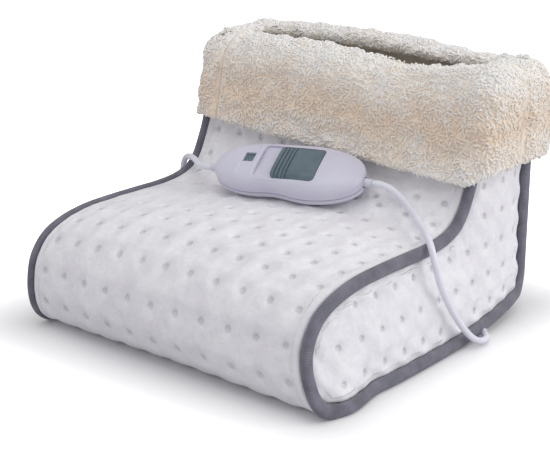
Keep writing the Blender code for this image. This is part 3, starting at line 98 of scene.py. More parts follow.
class Finish:
    """A material of nodes round one Principled shader."""

    def __init__(self, name, roughness, constants=None):
        self.material = bpy.data.materials.new(name)
        self.material.use_nodes = True
        self.tree = self.material.node_tree
        self.shader = self.tree.nodes["Principled BSDF"]
        self.place = self.node("ShaderNodeTexCoord", output="Object")
        self.put(self.shader, {"Roughness": roughness, **(constants or {})})

    def put(self, node, values):
        """Puts numbers, colours or other nodes' values into a node's sockets."""
        for key, value in values.items():
            if isinstance(value, Shade):
                self.tree.links.new(value.socket, node.inputs[key])
            else:
                node.inputs[key].default_value = value

    def node(self, kind, settings=None, values=None, output=0):
        """A node of any kind, and the value that comes out of it."""
        made = self.tree.nodes.new(kind)
        for key, value in (settings or {}).items():
            setattr(made, key, value)
        self.put(made, values or {})
        return Shade(self, made.outputs[output])

    def noise(self, size, detail=2.0, place=None, roughness=0.5):
        """Noise from 0 to 1 whose lumps are about size metres across."""
        return self.node("ShaderNodeTexNoise", {}, {
            "Vector": place or self.place, "Scale": 1 / size, "Detail": detail, "Roughness": roughness})

    def ramp(self, value, low, high, start=0.0, end=1.0):
        """A value from start to end as another goes from low to high, held beyond them."""
        return self.node("ShaderNodeMapRange", {"interpolation_type": "SMOOTHSTEP"}, {
            0: value, 1: low, 2: high, 3: start, 4: end})

    def mix(self, share, first, second, way="MIX"):
        """Two colours mixed."""
        return self.node("ShaderNodeMix", {"data_type": "RGBA", "blend_type": way},
                         {0: share, 6: first, 7: second}, 2)

    def attribute(self, name, output="Fac"):
        """A value that the mesh carries."""
        return self.node("ShaderNodeAttribute", {"attribute_name": name}, output=output)

    def colour(self, value):
        self.put(self.shader, {"Base Color": value})
        return self

    def rough(self, value):
        self.put(self.shader, {"Roughness": value})
        return self

    def bump(self, height, depth):
        """Bumps the surface by a height from 0 to 1, depth metres deep."""
        bumped = self.node("ShaderNodeBump", {}, {"Distance": depth, "Height": height})
        self.put(self.shader, {"Normal": bumped})
        return self


def srgb(code):
    """A colour from its usual six letters and digits."""
    parts = [int(code[at:at + 2], 16) / 255 for at in (0, 2, 4)]
    return tuple(p / 12.92 if p <= 0.04045 else ((p + 0.055) / 1.055) ** 2.4 for p in parts) + (1.0,)


def flex_finish(name, pale, dark):
    """Soft PVC with a faint bloom and fine flow marks."""
    made = Finish(name, 0.38, {"IOR": 1.5})
    bloom = made.noise(0.03, 3.0)
    grain = made.noise(0.0007, 3.0)
    made.colour(made.mix(made.ramp(bloom, 0.3, 0.7), srgb(pale), srgb(dark)))
    made.rough(0.3 + bloom * 0.16 + grain * 0.06)
    return made.bump(grain, 0.00006)


def flex_curve(name, points, radius, resolution=6):
    """A round flex on one smooth curve through its points."""
    curve = bpy.data.curves.new(name, "CURVE")
    curve.dimensions = "3D"
    curve.bevel_depth = radius
    curve.bevel_resolution = 6
    curve.resolution_u = resolution
    curve.use_fill_caps = True
    spline = curve.splines.new("BEZIER")
    spline.bezier_points.add(len(points) - 1)
    for knot, point in zip(spline.bezier_points, points):
        knot.co = point
        knot.handle_left_type = "AUTO"
        knot.handle_right_type = "AUTO"
    made = bpy.data.objects.new(name, curve)
    world_collection.objects.link(made)
    curve.materials.append(flex_material)
    return made


def line_length(points):
    """The length of a line through points."""
    return sum((Vector(b) - Vector(a)).length for a, b in zip(points, points[1:]))


CORD_RADIUS = 0.0027
flex_material = flex_finish("flex_pvc", "e9eaf2", "dfe0ea").material
right_exit = Vector((0.068248, 0.025981, 0.120598))
out_right = Vector((0.975758, 0.216313, 0.033245))
sole_entry = Vector((0.163560, 0.052393, 0.0050))
sole_way = Vector((0.707107, -0.707107, 0.0))
right_route = [right_exit, right_exit + out_right * 2 * CORD_RADIUS] + [Vector(point) for point in (
    (0.0815, 0.0283, 0.1192), (0.0910, 0.0282, 0.1153), (0.1010, 0.0253, 0.1103), (0.1115, 0.0188, 0.1062),
    (0.1220, 0.0110, 0.1030), (0.1320, 0.0030, 0.1008), (0.1413, -0.0048, 0.0986), (0.1490, -0.0107, 0.0936),
    (0.1540, -0.0133, 0.0845), (0.1570, -0.0122, 0.0725), (0.1591, -0.0075, 0.0585), (0.1611, 0.0000, 0.0445),
    (0.1634, 0.0092, 0.0305), (0.1658, 0.0185, 0.0188), (0.1677, 0.0275, 0.0102), (0.1688, 0.0357, 0.0058),
    (0.1690, 0.0420, 0.0047), (0.1681, 0.0466, 0.0048))] + [sole_entry + sole_way * CORD_RADIUS, sole_entry]
sole_lead = flex_curve("sole_lead", right_route, CORD_RADIUS)
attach(sole_lead, "boot")
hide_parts("controller_lead")

# The mains lead: the same flex, out of the controller's left gland, over the left tape and
# down to the floor, where its spare length is wound in two layers behind the boot.
COIL_TURNS = 3.5
COIL_PITCH = 0.00595
COIL_INNER = 0.0324 - COIL_PITCH * COIL_TURNS / 2
COIL_CENTRE = Vector((-0.2240, 0.0894, 0.0030))
TURN_KNOTS = 24
CLIMB_TURNS = 0.5
left_exit = Vector((-0.077725, -0.006379, 0.115625))
coil_entry = Vector((-0.181187, 0.0840, 0.0030))
mains_route = [left_exit, left_exit - out_right * 2 * CORD_RADIUS] + [Vector(point) for point in (
    (-0.0900, -0.0065, 0.1150), (-0.0980, -0.0017, 0.1143), (-0.1065, 0.0060, 0.1130), (-0.1158, 0.0140, 0.1118),
    (-0.1255, 0.0215, 0.1103), (-0.1350, 0.0283, 0.1085), (-0.1440, 0.0340, 0.1055), (-0.1514, 0.0383, 0.0997),
    (-0.1562, 0.0415, 0.0905), (-0.1584, 0.0435, 0.0785), (-0.1597, 0.0455, 0.0655), (-0.1613, 0.0475, 0.0515),
    (-0.1638, 0.0498, 0.0375), (-0.1675, 0.0528, 0.0248), (-0.1717, 0.0566, 0.0146), (-0.1757, 0.0617, 0.0076),
    (-0.1790, 0.0685, 0.0041), (-0.1808, 0.0755, 0.0031))] + [coil_entry]
coil_knots = round(2 * COIL_TURNS * TURN_KNOTS)
for step in range(coil_knots + 1):
    turn = 2 * COIL_TURNS * step / coil_knots
    reach = COIL_INNER + COIL_PITCH * abs(turn - COIL_TURNS)
    climb = min(max(turn - COIL_TURNS + CLIMB_TURNS / 2, 0.0) / CLIMB_TURNS, 1.0)
    mains_route.append(COIL_CENTRE + Vector((reach * math.cos(math.tau * turn), reach * math.sin(math.tau * turn),
                                             COIL_PITCH * climb)))
PLUG_HEIGHT = 0.0073
COIL_TAIL = 0.0260
TAIL_STEPS = 5
wound_end = mains_route[-1].copy()
for step in range(1, TAIL_STEPS + 1):
    share = min(max((step / TAIL_STEPS - 0.15) / 0.85, 0.0), 1.0)
    settled = share * share * (3 - 2 * share)
    mains_route.append(Vector((wound_end.x, wound_end.y + COIL_TAIL * step / TAIL_STEPS,
                               wound_end.z + (PLUG_HEIGHT - wound_end.z) * settled)))
mains_route.append(mains_route[-1] + Vector((0, 2 * CORD_RADIUS, 0)))
mains_flex = flex_curve("mains_flex", mains_route, CORD_RADIUS, resolution=3)
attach(mains_flex, "boot")
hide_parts("mains_lead", "mains_lead_coil")
moulded = flex_finish("moulded_pvc", "e2e3ec", "d8d9e4").material

# The quilted panels: white micro-fleece over wadding, welded in dots 25 mm apart, so that it
# puffs up between them. Each panel is a closed pad whose face is blown out by cloth.
STRIP_HALF_WIDTH = 0.138
SEAM_DEPTH = 0.005
PANEL_THICKNESS = 0.009
SIDE_INNER_X = 0.129
TOE_REACH = 0.156
HEEL_REACH = 0.1428
HEEL_RADIUS = 0.019
WALL_TOP = 0.190
VAMP_HEIGHT = 0.0865
QUILT_PITCH = 0.025
TUFT_DEPTH = 0.0034
TUFT_RADIUS = 0.0040
START_DEPTH = 0.0009
WELD_RADIUS = 0.0008
WELD_FADE = 0.0034
SUBROWS = 5
SOLE_HALF_LENGTH = 0.118
SIDE_FIRST_ROW = 0.021
SIDE_LIP = 0.0020
SEAM_SHARES = (
    (0.474, 1.0), (0.452, 0.826), (0.423, 0.614), (0.391, 0.459), (0.353, 0.324),
    (0.301, 0.179), (0.231, 0.077), (0.115, 0.019), (-0.038, 0.0),
)
TOE_SHARES = (
    (-0.21, 1.003), (-0.417, 1.005), (-0.603, 0.995), (-0.763, 0.948), (-0.891, 0.855),
    (-0.968, 0.705), (-0.997, 0.53), (-1.0, 0.347), (-0.974, 0.19), (-0.91, 0.087),
)


def smooth_line(points, steps, after=None):
    """Points on a smooth curve through the given points, the last one included."""
    last = after if after is not None else 2 * points[-1] - points[-2]
    ring = [2 * points[0] - points[1]] + list(points) + [last]
    line = []
    for p0, p1, p2, p3 in zip(ring, ring[1:], ring[2:], ring[3:]):
        for step in range(steps):
            t = step / steps
            line.append(0.5 * (2 * p1 + (p2 - p0) * t + (2 * p0 - 5 * p1 + 4 * p2 - p3) * t ** 2
                               + (3 * p1 - p0 - 3 * p2 + p3) * t ** 3))
    return line + [points[-1]]


def spaced(points, count):
    """Points at an even spacing along a fine line."""
    lengths = [0.0]
    for a, b in zip(points, points[1:]):
        lengths.append(lengths[-1] + (b - a).length)
    line = []
    piece = 0
    for number in range(count + 1):
        along = lengths[-1] * number / count
        while piece < len(points) - 2 and lengths[piece + 1] < along:
            piece += 1
        share = (along - lengths[piece]) / (lengths[piece + 1] - lengths[piece])
        line.append(points[piece].lerp(points[piece + 1], share))
    return line


def smoothstep(value, low, high):
    """0 below low, 1 above high, smooth between."""
    t = min(max((value - low) / (high - low), 0.0), 1.0)
    return t * t * (3 - 2 * t)


def widen(point, seam):
    """Bows the boot's sides outwards near the floor."""
    y, z = seam
    fade = 1 - min(max(0.0, z - PANEL_THICKNESS) / 0.085, 1.0)
    factor = 1 + 0.015 * (1 - min(abs(y) / HEEL_REACH, 1.0) ** 4) * fade ** 2 / STRIP_HALF_WIDTH
    right = smoothstep(point[0], 0.0, STRIP_HALF_WIDTH)
    toe = right * smoothstep(0.05 - z, 0.0, 0.045) * smoothstep(-y, 0.085, 0.13)
    heel = right * smoothstep(0.07 - z, 0.0, 0.065) * smoothstep(y, 0.0, 0.125)
    return Vector((point[0] * factor + 0.012 * toe, point[1] - 0.005 * toe, point[2] + 0.0085 * heel))


front_line = [Vector((TOE_REACH * y, VAMP_HEIGHT + (WALL_TOP - VAMP_HEIGHT) * z)) for y, z in SEAM_SHARES]
front_line += [Vector((TOE_REACH * y, VAMP_HEIGHT * z)) for y, z in TOE_SHARES]
front_line.append(Vector((-0.82 * TOE_REACH, SEAM_DEPTH)))
sole_front = Vector((-SOLE_HALF_LENGTH, SEAM_DEPTH))
sole_rear = Vector((SOLE_HALF_LENGTH, SEAM_DEPTH))
heel_centre = Vector((HEEL_REACH - HEEL_RADIUS, SEAM_DEPTH + HEEL_RADIUS))
heel_line = [sole_rear]
for step in range(25):
    turn = math.radians(90) * step / 24
    heel_line.append(heel_centre + HEEL_RADIUS * Vector((math.sin(turn), -math.cos(turn))))
heel_line.append(Vector((HEEL_REACH, WALL_TOP)))
vamp_rows = spaced(smooth_line(front_line, 12, after=sole_front) + [sole_front], 31 * SUBROWS)
sole_rows = spaced([sole_front, sole_rear], 19 * SUBROWS)
back_rows = spaced(heel_line, 16 * SUBROWS)
seam_rows = vamp_rows + sole_rows[1:-1] + back_rows


def outward(rows, number):
    """The direction out of the boot at a row of a seam line."""
    along = rows[min(number + 1, len(rows) - 1)] - rows[max(number - 1, 0)]
    return Vector((along.y, -along.x)).normalized()


def front_crown(y, z):
    """How far the vamp stands proud of its seams."""
    crown = 0.009 * smoothstep(z, SEAM_DEPTH, VAMP_HEIGHT / 2)
    if y > 0:
        crown = (crown + 0.007 * smoothstep(y, 0, TOE_REACH * 0.25)) * smoothstep(z, 0.122, 0.097)
    return crown


def back_crown(y, z):
    """How far the heel wall stands proud of its seams."""
    return 0.003 * smoothstep(z, SEAM_DEPTH, HEEL_RADIUS) * smoothstep(z, 0.122, 0.097)


def pit(along, across):
    """How deep the fabric is drawn in at a distance from a weld, seen along both its rows."""
    away = math.hypot(*(place - round(place / QUILT_PITCH) * QUILT_PITCH for place in (along, across)))
    return TUFT_DEPTH * math.exp(-(away / TUFT_RADIUS) ** 2)


class Pad:
    """A closed pad: its face's points and faces, where each is sewn, and its back's points.

    Its welds say how far each point is along and across from a weld, and whether any is near.
    """

    def __init__(self, name, face, ways, sewn, depths, polygons, back, welds):
        self.name = name
        self.face = face
        self.ways = ways
        self.sewn = sewn
        self.depths = depths
        self.polygons = polygons
        self.back = back
        self.welds = welds
        self.blown = None


def strip_pad(name, rows, crown):
    """A pad over a stretch of the strip that runs down the front or the heel."""
    half = round((STRIP_HALF_WIDTH - 0.001) / QUILT_PITCH * 2 * SUBROWS)
    columns = [QUILT_PITCH / 2 / SUBROWS * number for number in range(-half, half + 1)]
    columns[0], columns[-1] = -STRIP_HALF_WIDTH, STRIP_HALF_WIDTH
    face, ways, sewn, depths, back, welds = [], [], [], [], [], []
    for row, seam in enumerate(rows):
        way = outward(rows, row)
        for column, x in enumerate(columns):
            rise = crown(seam.x, seam.y) * (1 - (x / STRIP_HALF_WIDTH) ** 2)
            y, z = seam + way * (SEAM_DEPTH + rise)
            tuft = (row % (2 * SUBROWS) == SUBROWS and (column - half) % (2 * SUBROWS) == 0
                    and row < len(rows) - 2 and abs(x) < STRIP_HALF_WIDTH - 0.005)
            edge = row in (0, len(rows) - 1) or column in (0, len(columns) - 1)
            from_edge = STRIP_HALF_WIDTH - abs(x)
            drawn = pit((row / SUBROWS - 1) * QUILT_PITCH / 2, x) * smoothstep(from_edge, 0.0, 0.008)
            drawn *= 1.0 if row < len(rows) - SUBROWS else 0.0
            depths.append(START_DEPTH * smoothstep(from_edge, 0.0, 0.004) + drawn)
            welds.append(((row / SUBROWS - 1) * QUILT_PITCH / 2, x, drawn / TUFT_DEPTH > 0 and from_edge > 0.006
                          and row < len(rows) - SUBROWS))
            sewn.append(tuft or edge)
            face.append(widen((x, y, z), seam))
            ways.append(Vector((0, way.x, way.y)))
            y, z = seam + way * (SEAM_DEPTH - PANEL_THICKNESS)
            back.append(widen((x, y, z), seam))
    width = len(columns)
    polygons = [(row * width + column, row * width + column + 1, (row + 1) * width + column + 1,
                 (row + 1) * width + column)
                for row in range(len(rows) - 1) for column in range(width - 1)]
    return Pad(name, face, ways, sewn, depths, polygons, back, welds)


def side_pad(name, side):
    """A pad over a side wall, inside the strip."""
    outline = []
    for row, seam in enumerate(seam_rows):
        point = seam + outward(seam_rows, row) * (SEAM_DEPTH - PANEL_THICKNESS - 0.0003)
        if not outline or (point - outline[-1]).length > 0.0006:
            outline.append(point)
    step = QUILT_PITCH / 2 / SUBROWS
    outline = spaced(outline + [outline[0]], round(line_length(outline + [outline[0]]) / step))[:-1]
    loop = list(range(len(outline)))
    grid = []
    for number_y in range(-round(TOE_REACH / step), round(TOE_REACH / step)):
        for number_z in range(-SUBROWS, round(WALL_TOP / step)):
            point = Vector((number_y * step, SIDE_FIRST_ROW + number_z * step))
            crossings = sum((a.y > point.y) != (b.y > point.y)
                            and point.x < a.x + (point.y - a.y) * (b.x - a.x) / (b.y - a.y)
                            for a, b in zip(outline, outline[1:] + outline[:1]))
            if crossings % 2:
                grid.append(point)
    edges = list(zip(loop, loop[1:] + loop[:1]))

    def from_outline(point):
        least = math.inf
        for a, b in zip(outline, outline[1:] + outline[:1]):
            share = max(0.0, min(1.0, (point - a).dot(b - a) / (b - a).length_squared))
            least = min(least, (point - a.lerp(b, share)).length)
        return least

    inner = [point for point in grid if from_outline(point) > step / 2]
    points, _, triangles, _, _, _ = delaunay_2d_cdt(outline + inner, edges, [], 1, 1e-6)
    face, ways, sewn, depths, back, welds = [], [], [], [], [], []
    for number, point in enumerate(points):
        away = from_outline(point)
        swell = 0.0085 * (1 - (1 - min(away / 0.042, 1.0)) ** 2)
        ripple = 0.5 - 0.5 * math.cos(math.tau * (point.x + point.y) / QUILT_PITCH)
        swell += (0.0008 + 0.0018 * ripple) * smoothstep(away, 0.0, 0.005) * smoothstep(0.02 - away, 0.0, 0.015)
        places = (point.x / QUILT_PITCH, (point.y - SIDE_FIRST_ROW) / QUILT_PITCH)
        off = max(abs(place - round(place)) for place in places)
        tuft = off < 0.01 and away > 0.005
        edge = away < 0.0005
        sewn.append(tuft or edge)
        drawn = pit(point.x, point.y - SIDE_FIRST_ROW) * smoothstep(away, 0.001, 0.012)
        depths.append(START_DEPTH * smoothstep(away, 0.0, 0.004) + drawn)
        welds.append((point.x, point.y - SIDE_FIRST_ROW, away > 0.005))
        face.append(widen((side * (STRIP_HALF_WIDTH + SIDE_LIP + swell), point.x, point.y), point))
        ways.append(Vector((side, 0, 0)))
        back.append(widen((side * SIDE_INNER_X, point.x, point.y), point))
    polygons = []
    for a, b, c in triangles:
        flat = (points[b] - points[a]).cross(points[c] - points[a])
        polygons.append((a, b, c) if flat * side > 0 else (a, c, b))
    return Pad(name, face, ways, sewn, depths, polygons, back, welds)


def blow_out(pads):
    """Lets cloth puff every pad's face out between its stitches, all in one run."""
    blown = []
    for pad in pads:
        mesh = bpy.data.meshes.new(pad.name + "_cloth")
        start = [point - way * depth for point, way, depth in zip(pad.face, pad.ways, pad.depths)]
        mesh.from_pydata(start, [], pad.polygons)
        cloth = bpy.data.objects.new(pad.name + "_cloth", mesh)
        world_collection.objects.link(cloth)
        group = cloth.vertex_groups.new(name="sewn")
        group.add([number for number, fixed in enumerate(pad.sewn) if fixed], 1.0, "REPLACE")
        modifier = cloth.modifiers.new("cloth", "CLOTH")
        settings = modifier.settings
        settings.quality = 5
        settings.mass = 0.2
        settings.tension_stiffness = 12
        settings.compression_stiffness = 8
        settings.shear_stiffness = 3
        settings.bending_stiffness = 1.0
        settings.vertex_group_mass = "sewn"
        settings.use_pressure = True
        settings.uniform_pressure_force = 3
        settings.shrink_min = -0.01
        settings.effector_weights.gravity = 0
        modifier.collision_settings.use_collision = False
        modifier.point_cache.frame_start = 1
        modifier.point_cache.frame_end = 20
        blown.append((pad, cloth, start))
    for moment in range(1, 21):
        bpy.context.scene.frame_set(moment)
    graph = bpy.context.evaluated_depsgraph_get()
    for pad, cloth, start in blown:
        moved = cloth.evaluated_get(graph).to_mesh()
        pad.blown = [vert.co.copy() for vert in moved.vertices]
        bpy.data.objects.remove(cloth)
    bpy.context.scene.frame_set(1)


def trees_of(names):
    """Trees of the CAD solids that a fabric has to stay clear of."""
    found = []
    for name in names:
        mesh = nodes[name].data
        mesh_points = [v.co for v in mesh.vertices]
        mesh_faces = [tuple(p.vertices) for p in mesh.polygons]
        found.append(BVHTree.FromPolygons(mesh_points, mesh_faces))
    return found


def keep_clear(points, ways, trees, room):
    """Moves points back along their ways until they are clear of the solids by the room."""
    for tree in trees:
        for number, way in enumerate(ways):
            for attempt in range(4):
                place, normal, _, away = tree.find_nearest(points[number], 0.012)
                if place is None:
                    break
                gap = (points[number] - place).dot(normal)
                signed = math.copysign(away, gap)
                if signed >= room:
                    break
                points[number] = points[number] - way * (room - signed)


def closed_pad(name, face, back, polygons, material, welds=None):
    """A closed body from its face, its back and the wall between their rims."""
    bm = bmesh.new()
    quilt_uv = bm.loops.layers.uv.new("quilt")
    count = len(face)
    verts = [bm.verts.new(point) for point in face + back]
    bm.verts.index_update()
    for polygon in polygons:
        bm.faces.new([verts[number] for number in polygon])
        bm.faces.new([verts[number + count] for number in reversed(polygon)])
    rim = {}
    for polygon in polygons:
        for a, b in zip(polygon, polygon[1:] + polygon[:1]):
            rim[(a, b)] = (b, a) not in rim
            if (b, a) in rim:
                rim[(b, a)] = False
    for (a, b), alone in rim.items():
        if alone:
            bm.faces.new((verts[b], verts[a], verts[a + count], verts[b + count]))
    bmesh.ops.recalc_face_normals(bm, faces=bm.faces[:])
    if len(polygons[0]) == 3:
        bmesh.ops.join_triangles(bm, faces=bm.faces[:], angle_face_threshold=1.2, angle_shape_threshold=1.2)
    bare = (QUILT_PITCH / 2, QUILT_PITCH / 2)
    for polygon in bm.faces:
        for loop in polygon.loops:
            number = loop.vert.index
            along, across, near = welds[number] if welds and number < count else (*bare, False)
            loop[quilt_uv].uv = (along, across) if near else bare
    mesh = bpy.data.meshes.new(name)
    bm.to_mesh(mesh)
    bm.free()
    mesh.shade_smooth()
    mesh.materials.append(material)
    made = bpy.data.objects.new(name, mesh)
    world_collection.objects.link(made)
    return made


def pad_object(pad, cap, obstacles, material):
    """The pad as a closed body: its face as blown out but no further than the cap, and its back."""
    points = []
    for place, way, start in zip(pad.blown, pad.ways, pad.face):
        rise = (place - start).dot(way)
        points.append(place - way * max(0.0, rise - cap))
    keep_clear(points, pad.ways, trees_of(obstacles), 0.0007)
    made = closed_pad(pad.name, points, pad.back, pad.polygons, material, pad.welds)
    level = made.modifiers.new("finer", "SUBSURF")
    level.levels = 1
    level.render_levels = 1
    return made


def fleece_finish(name, pale, dark):
    """Short brushed fleece, a soft sheen over fine fibres, sunk in at its welds, with painted shade darkening each
    weld's pit.
    """
    made = Finish(name, 0.95, {"Sheen Weight": 0.35, "Sheen Roughness": 0.45, "Specular IOR Level": 0.15})
    split = made.tree.nodes.new("ShaderNodeSeparateXYZ")
    made.put(split, {"Vector": made.node("ShaderNodeUVMap", {"uv_map": "quilt"})})
    squares = 0
    for axis in (0, 1):
        share = Shade(made, split.outputs[axis]) / QUILT_PITCH
        off = (share - share.maths("ROUND", share)) * QUILT_PITCH
        squares = off * off + squares
    away = squares.maths("SQRT", squares) + (made.noise(0.004, 2.0) - 0.5) * 0.0012
    weld_pit_and_shade = made.ramp(away, WELD_RADIUS, WELD_FADE, 1.0, 0.0)
    patches = made.noise(0.022, 3.0)
    nap = made.noise(0.0034, 4.0, roughness=0.65)
    fibres = made.noise(0.0007, 3.0, roughness=0.7)
    shade = made.mix(made.ramp(patches * 0.55 + nap * 0.45, 0.35, 0.68), srgb(dark), srgb(pale))
    # Painted shade: the colour is pulled towards grey in the pit round each weld, where shade would fall.
    made.colour(made.mix(weld_pit_and_shade * weld_pit_and_shade * 0.2, shade, srgb("77767c")))
    return made.bump(nap * 0.32 + fibres * 0.2 - weld_pit_and_shade * 1.1, 0.0012)


fleece = fleece_finish("white_fleece", "f4f4f6", "e9e8ec").material
pads = [strip_pad("vamp_quilting", vamp_rows, front_crown), strip_pad("heel_quilting", back_rows, back_crown),
        side_pad("right_side_quilting", 1), side_pad("left_side_quilting", -1)]
blow_out(pads)
quilts = {
    "vamp_quilting": ("vamp_panel", ("controller_bottom_shell", "gland_left", "gland_right", "controller_lead",
                                     "mains_lead")),
    "heel_quilting": ("back_panel", ()),
    "right_side_quilting": ("right_side_panel", ("controller_lead", "sole_cord_gland")),
    "left_side_quilting": ("left_side_panel", ("mains_lead",)),
}
for pad in pads:
    node, obstacles = quilts[pad.name]
    quilt = pad_object(pad, 0.003, obstacles, fleece)
    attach(quilt, "boot")
    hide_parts(node)

# The tape over the side seams: grey ribbed binding, 9 mm wide, folded over the panels' edges
# and sewn through. On the right the lead's gland comes out through it.
TAPE_HALF_WIDTH = 0.0053
TAPE_HALF_DEPTH = 0.0036
TAPE_RAISE = 0.0009
TAPE_X = 0.1420
TAPE_SIDES = 24
TAPE_POWER = 2.6


def tape_finish(name, pale, dark):
    """Woven tape: fine ribs across it, a thread at a time, and a worn bloom along them."""
    made = Finish(name, 0.85, {"Sheen Weight": 0.25, "Sheen Roughness": 0.5, "Specular IOR Level": 0.25})
    lengths = made.node("ShaderNodeUVMap", {"uv_map": "tape"})
    split = made.tree.nodes.new("ShaderNodeSeparateXYZ")
    made.put(split, {"Vector": lengths})
    along, across = Shade(made, split.outputs[0]), Shade(made, split.outputs[1])
    ribs = (along * (math.tau / 0.0011)).maths("SINE", along * (math.tau / 0.0011)) * 0.5 + 0.5
    slant = across * (math.tau / 0.0007) + along * (math.tau / 0.0011)
    threads = slant.maths("SINE", slant) * 0.5 + 0.5
    bloom = made.noise(0.012, 4.0)
    weave = ribs * 0.65 + threads * 0.35
    made.colour(made.mix(made.ramp(bloom * 0.6 + weave * 0.4, 0.3, 0.75), srgb(dark), srgb(pale)))
    return made.bump(weave, 0.0003)


def tape_body(name, side, path, material):
    """The tape swept along its path, with rounded, closed ends."""
    bm = bmesh.new()
    uv = bm.loops.layers.uv.new("tape")
    rings = []
    along = [0.0]
    for a, b in zip(path, path[1:]):
        along.append(along[-1] + (b - a).length)
    round_width = 4 * (TAPE_HALF_WIDTH + TAPE_HALF_DEPTH) * 0.8
    for number, point in enumerate(path):
        way = (path[min(number + 1, len(path) - 1)] - path[max(number - 1, 0)]).normalized()
        out = Vector((side, 0, 0))
        across = way.cross(out).normalized()
        end = min(along[number], along[-1] - along[number])
        close = min(1.0, 0.35 + (end / 0.0016) ** 0.5 * 0.65) if end < 0.0016 else 1.0
        ring = []
        for corner in range(TAPE_SIDES):
            angle = math.tau * corner / TAPE_SIDES
            c, s = math.cos(angle), math.sin(angle)
            wide = math.copysign(abs(c) ** (2 / TAPE_POWER), c) * TAPE_HALF_WIDTH * close
            deep = math.copysign(abs(s) ** (2 / TAPE_POWER), s) * TAPE_HALF_DEPTH * close
            ring.append(bm.verts.new(point + across * wide + out * deep))
        rings.append(ring)
    for number, (ring, after) in enumerate(zip(rings, rings[1:])):
        for corner in range(TAPE_SIDES):
            after_corner = (corner + 1) % TAPE_SIDES
            face = bm.faces.new((ring[corner], ring[after_corner], after[after_corner], after[corner]))
            for loop, (at, share) in zip(face.loops, ((number, corner), (number, corner + 1), (number + 1, corner + 1),
                                                      (number + 1, corner))):
                loop[uv].uv = (along[at], share / TAPE_SIDES * round_width)
    bm.faces.new(rings[0])
    bm.faces.new(list(reversed(rings[-1])))
    bmesh.ops.recalc_face_normals(bm, faces=bm.faces[:])
    mesh = bpy.data.meshes.new(name)
    bm.to_mesh(mesh)
    bm.free()
    mesh.shade_smooth()
    mesh.materials.append(material)
    made = bpy.data.objects.new(name, mesh)
    world_collection.objects.link(made)
    return made


tape_material = tape_finish("grey_tape", "8a8a96", "62626e").material
collar_edge = WALL_TOP - 0.0065
seam_path = [seam for seam in vamp_rows + sole_rows[1:-1] + back_rows[1:] if seam.y < collar_edge]
spread_out = [seam for seam, after in zip(seam_path, seam_path[1:]) if (after - seam).length > 0.001]
seam_path = spread_out + [seam_path[-1]]
for side, name, replaced in ((1, "right_tape", ("right_binding_front", "right_binding_rear")),
                             (-1, "left_tape", ("left_binding",))):
    path = []
    for number, seam in enumerate(seam_path):
        raised = seam + outward(seam_path, number) * TAPE_RAISE
        path.append(widen((side * TAPE_X, raised.x, max(raised.y, TAPE_HALF_WIDTH + 0.0002)), seam))
    tape = tape_body(name, side, path, tape_material)
    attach(tape, "boot")
    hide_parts(*replaced)

# The cuff: cream sherpa on a thick backing, sewn from three pieces. It hangs outside the
# collar, rolls over its top and goes down inside.
CUFF_HALF_THICKNESS = 0.0065
LEG_INSET = CUFF_HALF_THICKNESS + 0.0003
ROLL_WIDTH = 0.0198
ROLL_HEIGHT = 0.0198
ROLL_END = math.radians(112)
CUFF_CORNER = 0.0055
ENVELOPE_X = 0.138 + 0.0052 + 0.0045 + 0.0005
ENVELOPE_BACK = HEEL_REACH + SEAM_DEPTH + 0.0005
PILE_STEP = 0.0019
LOCK_SIDES = 5
LOCK_RINGS = 5
LOCK_LENGTH = 0.0056
LOCK_RADIUS = 0.00095
LOCK_SUNK = 0.0010
LOCK_CURL = math.radians(150)
LOCK_SPACING = 0.0018
LOCK_DENSITY = 400000.0
LOCK_ROOM = 0.0016
LOCK_STRAY = 0.9
LOCK_LEAST = 0.7
LOCK_MOST = 1.25
SWIRL_TURNS = 3
BACK_PUFF = 0.006
LIP_SAG = 0.009
CORNER_DRAWN_IN = 0.008


def envelope_front(z):
    """How far forward the front wall reaches at a height."""
    for a, b in zip(vamp_rows, vamp_rows[1:]):
        if a.y >= z >= b.y and b.x > 0:
            drop = a.y - b.y
            inward = SEAM_DEPTH * (a - b).length / drop
            return a.x + (z - a.y) * (a.x - b.x) / drop - inward - 0.001
    a, b = vamp_rows[0], vamp_rows[1]
    return a.x + (z - a.y) * (a.x - b.x) / (a.y - b.y) - SEAM_DEPTH * (a - b).length / (a.y - b.y) - 0.001


def cuff_point(station, out, z):
    """A point of the cuff: its station round the collar, how far out, and its height."""
    across, along, angle = station
    radius = CUFF_CORNER + out if out > 0 else CUFF_CORNER * (1 + out / (2 * ROLL_WIDTH))
    front = envelope_front(z) - out
    back = ENVELOPE_BACK + out
    half_x = ENVELOPE_X + out - radius if abs(across) == 1 else ENVELOPE_X - CUFF_CORNER
    half_y = (back - front) / 2 - radius
    return Vector((across * half_x + radius * math.cos(angle),
                   (front + back) / 2 + along * half_y + radius * math.sin(angle), z))


def cuff_hem(station):
    """The hem's height, which falls from the front's left to its right."""
    x = station[0] * ENVELOPE_X
    facing = math.sin(station[2]) ** 2 if station[1] < 0 else 0.0
    side_hem = 0.134 + 0.05 * max(-x, 0.0)
    return side_hem + (0.134 - 0.05 * x - side_hem) * facing


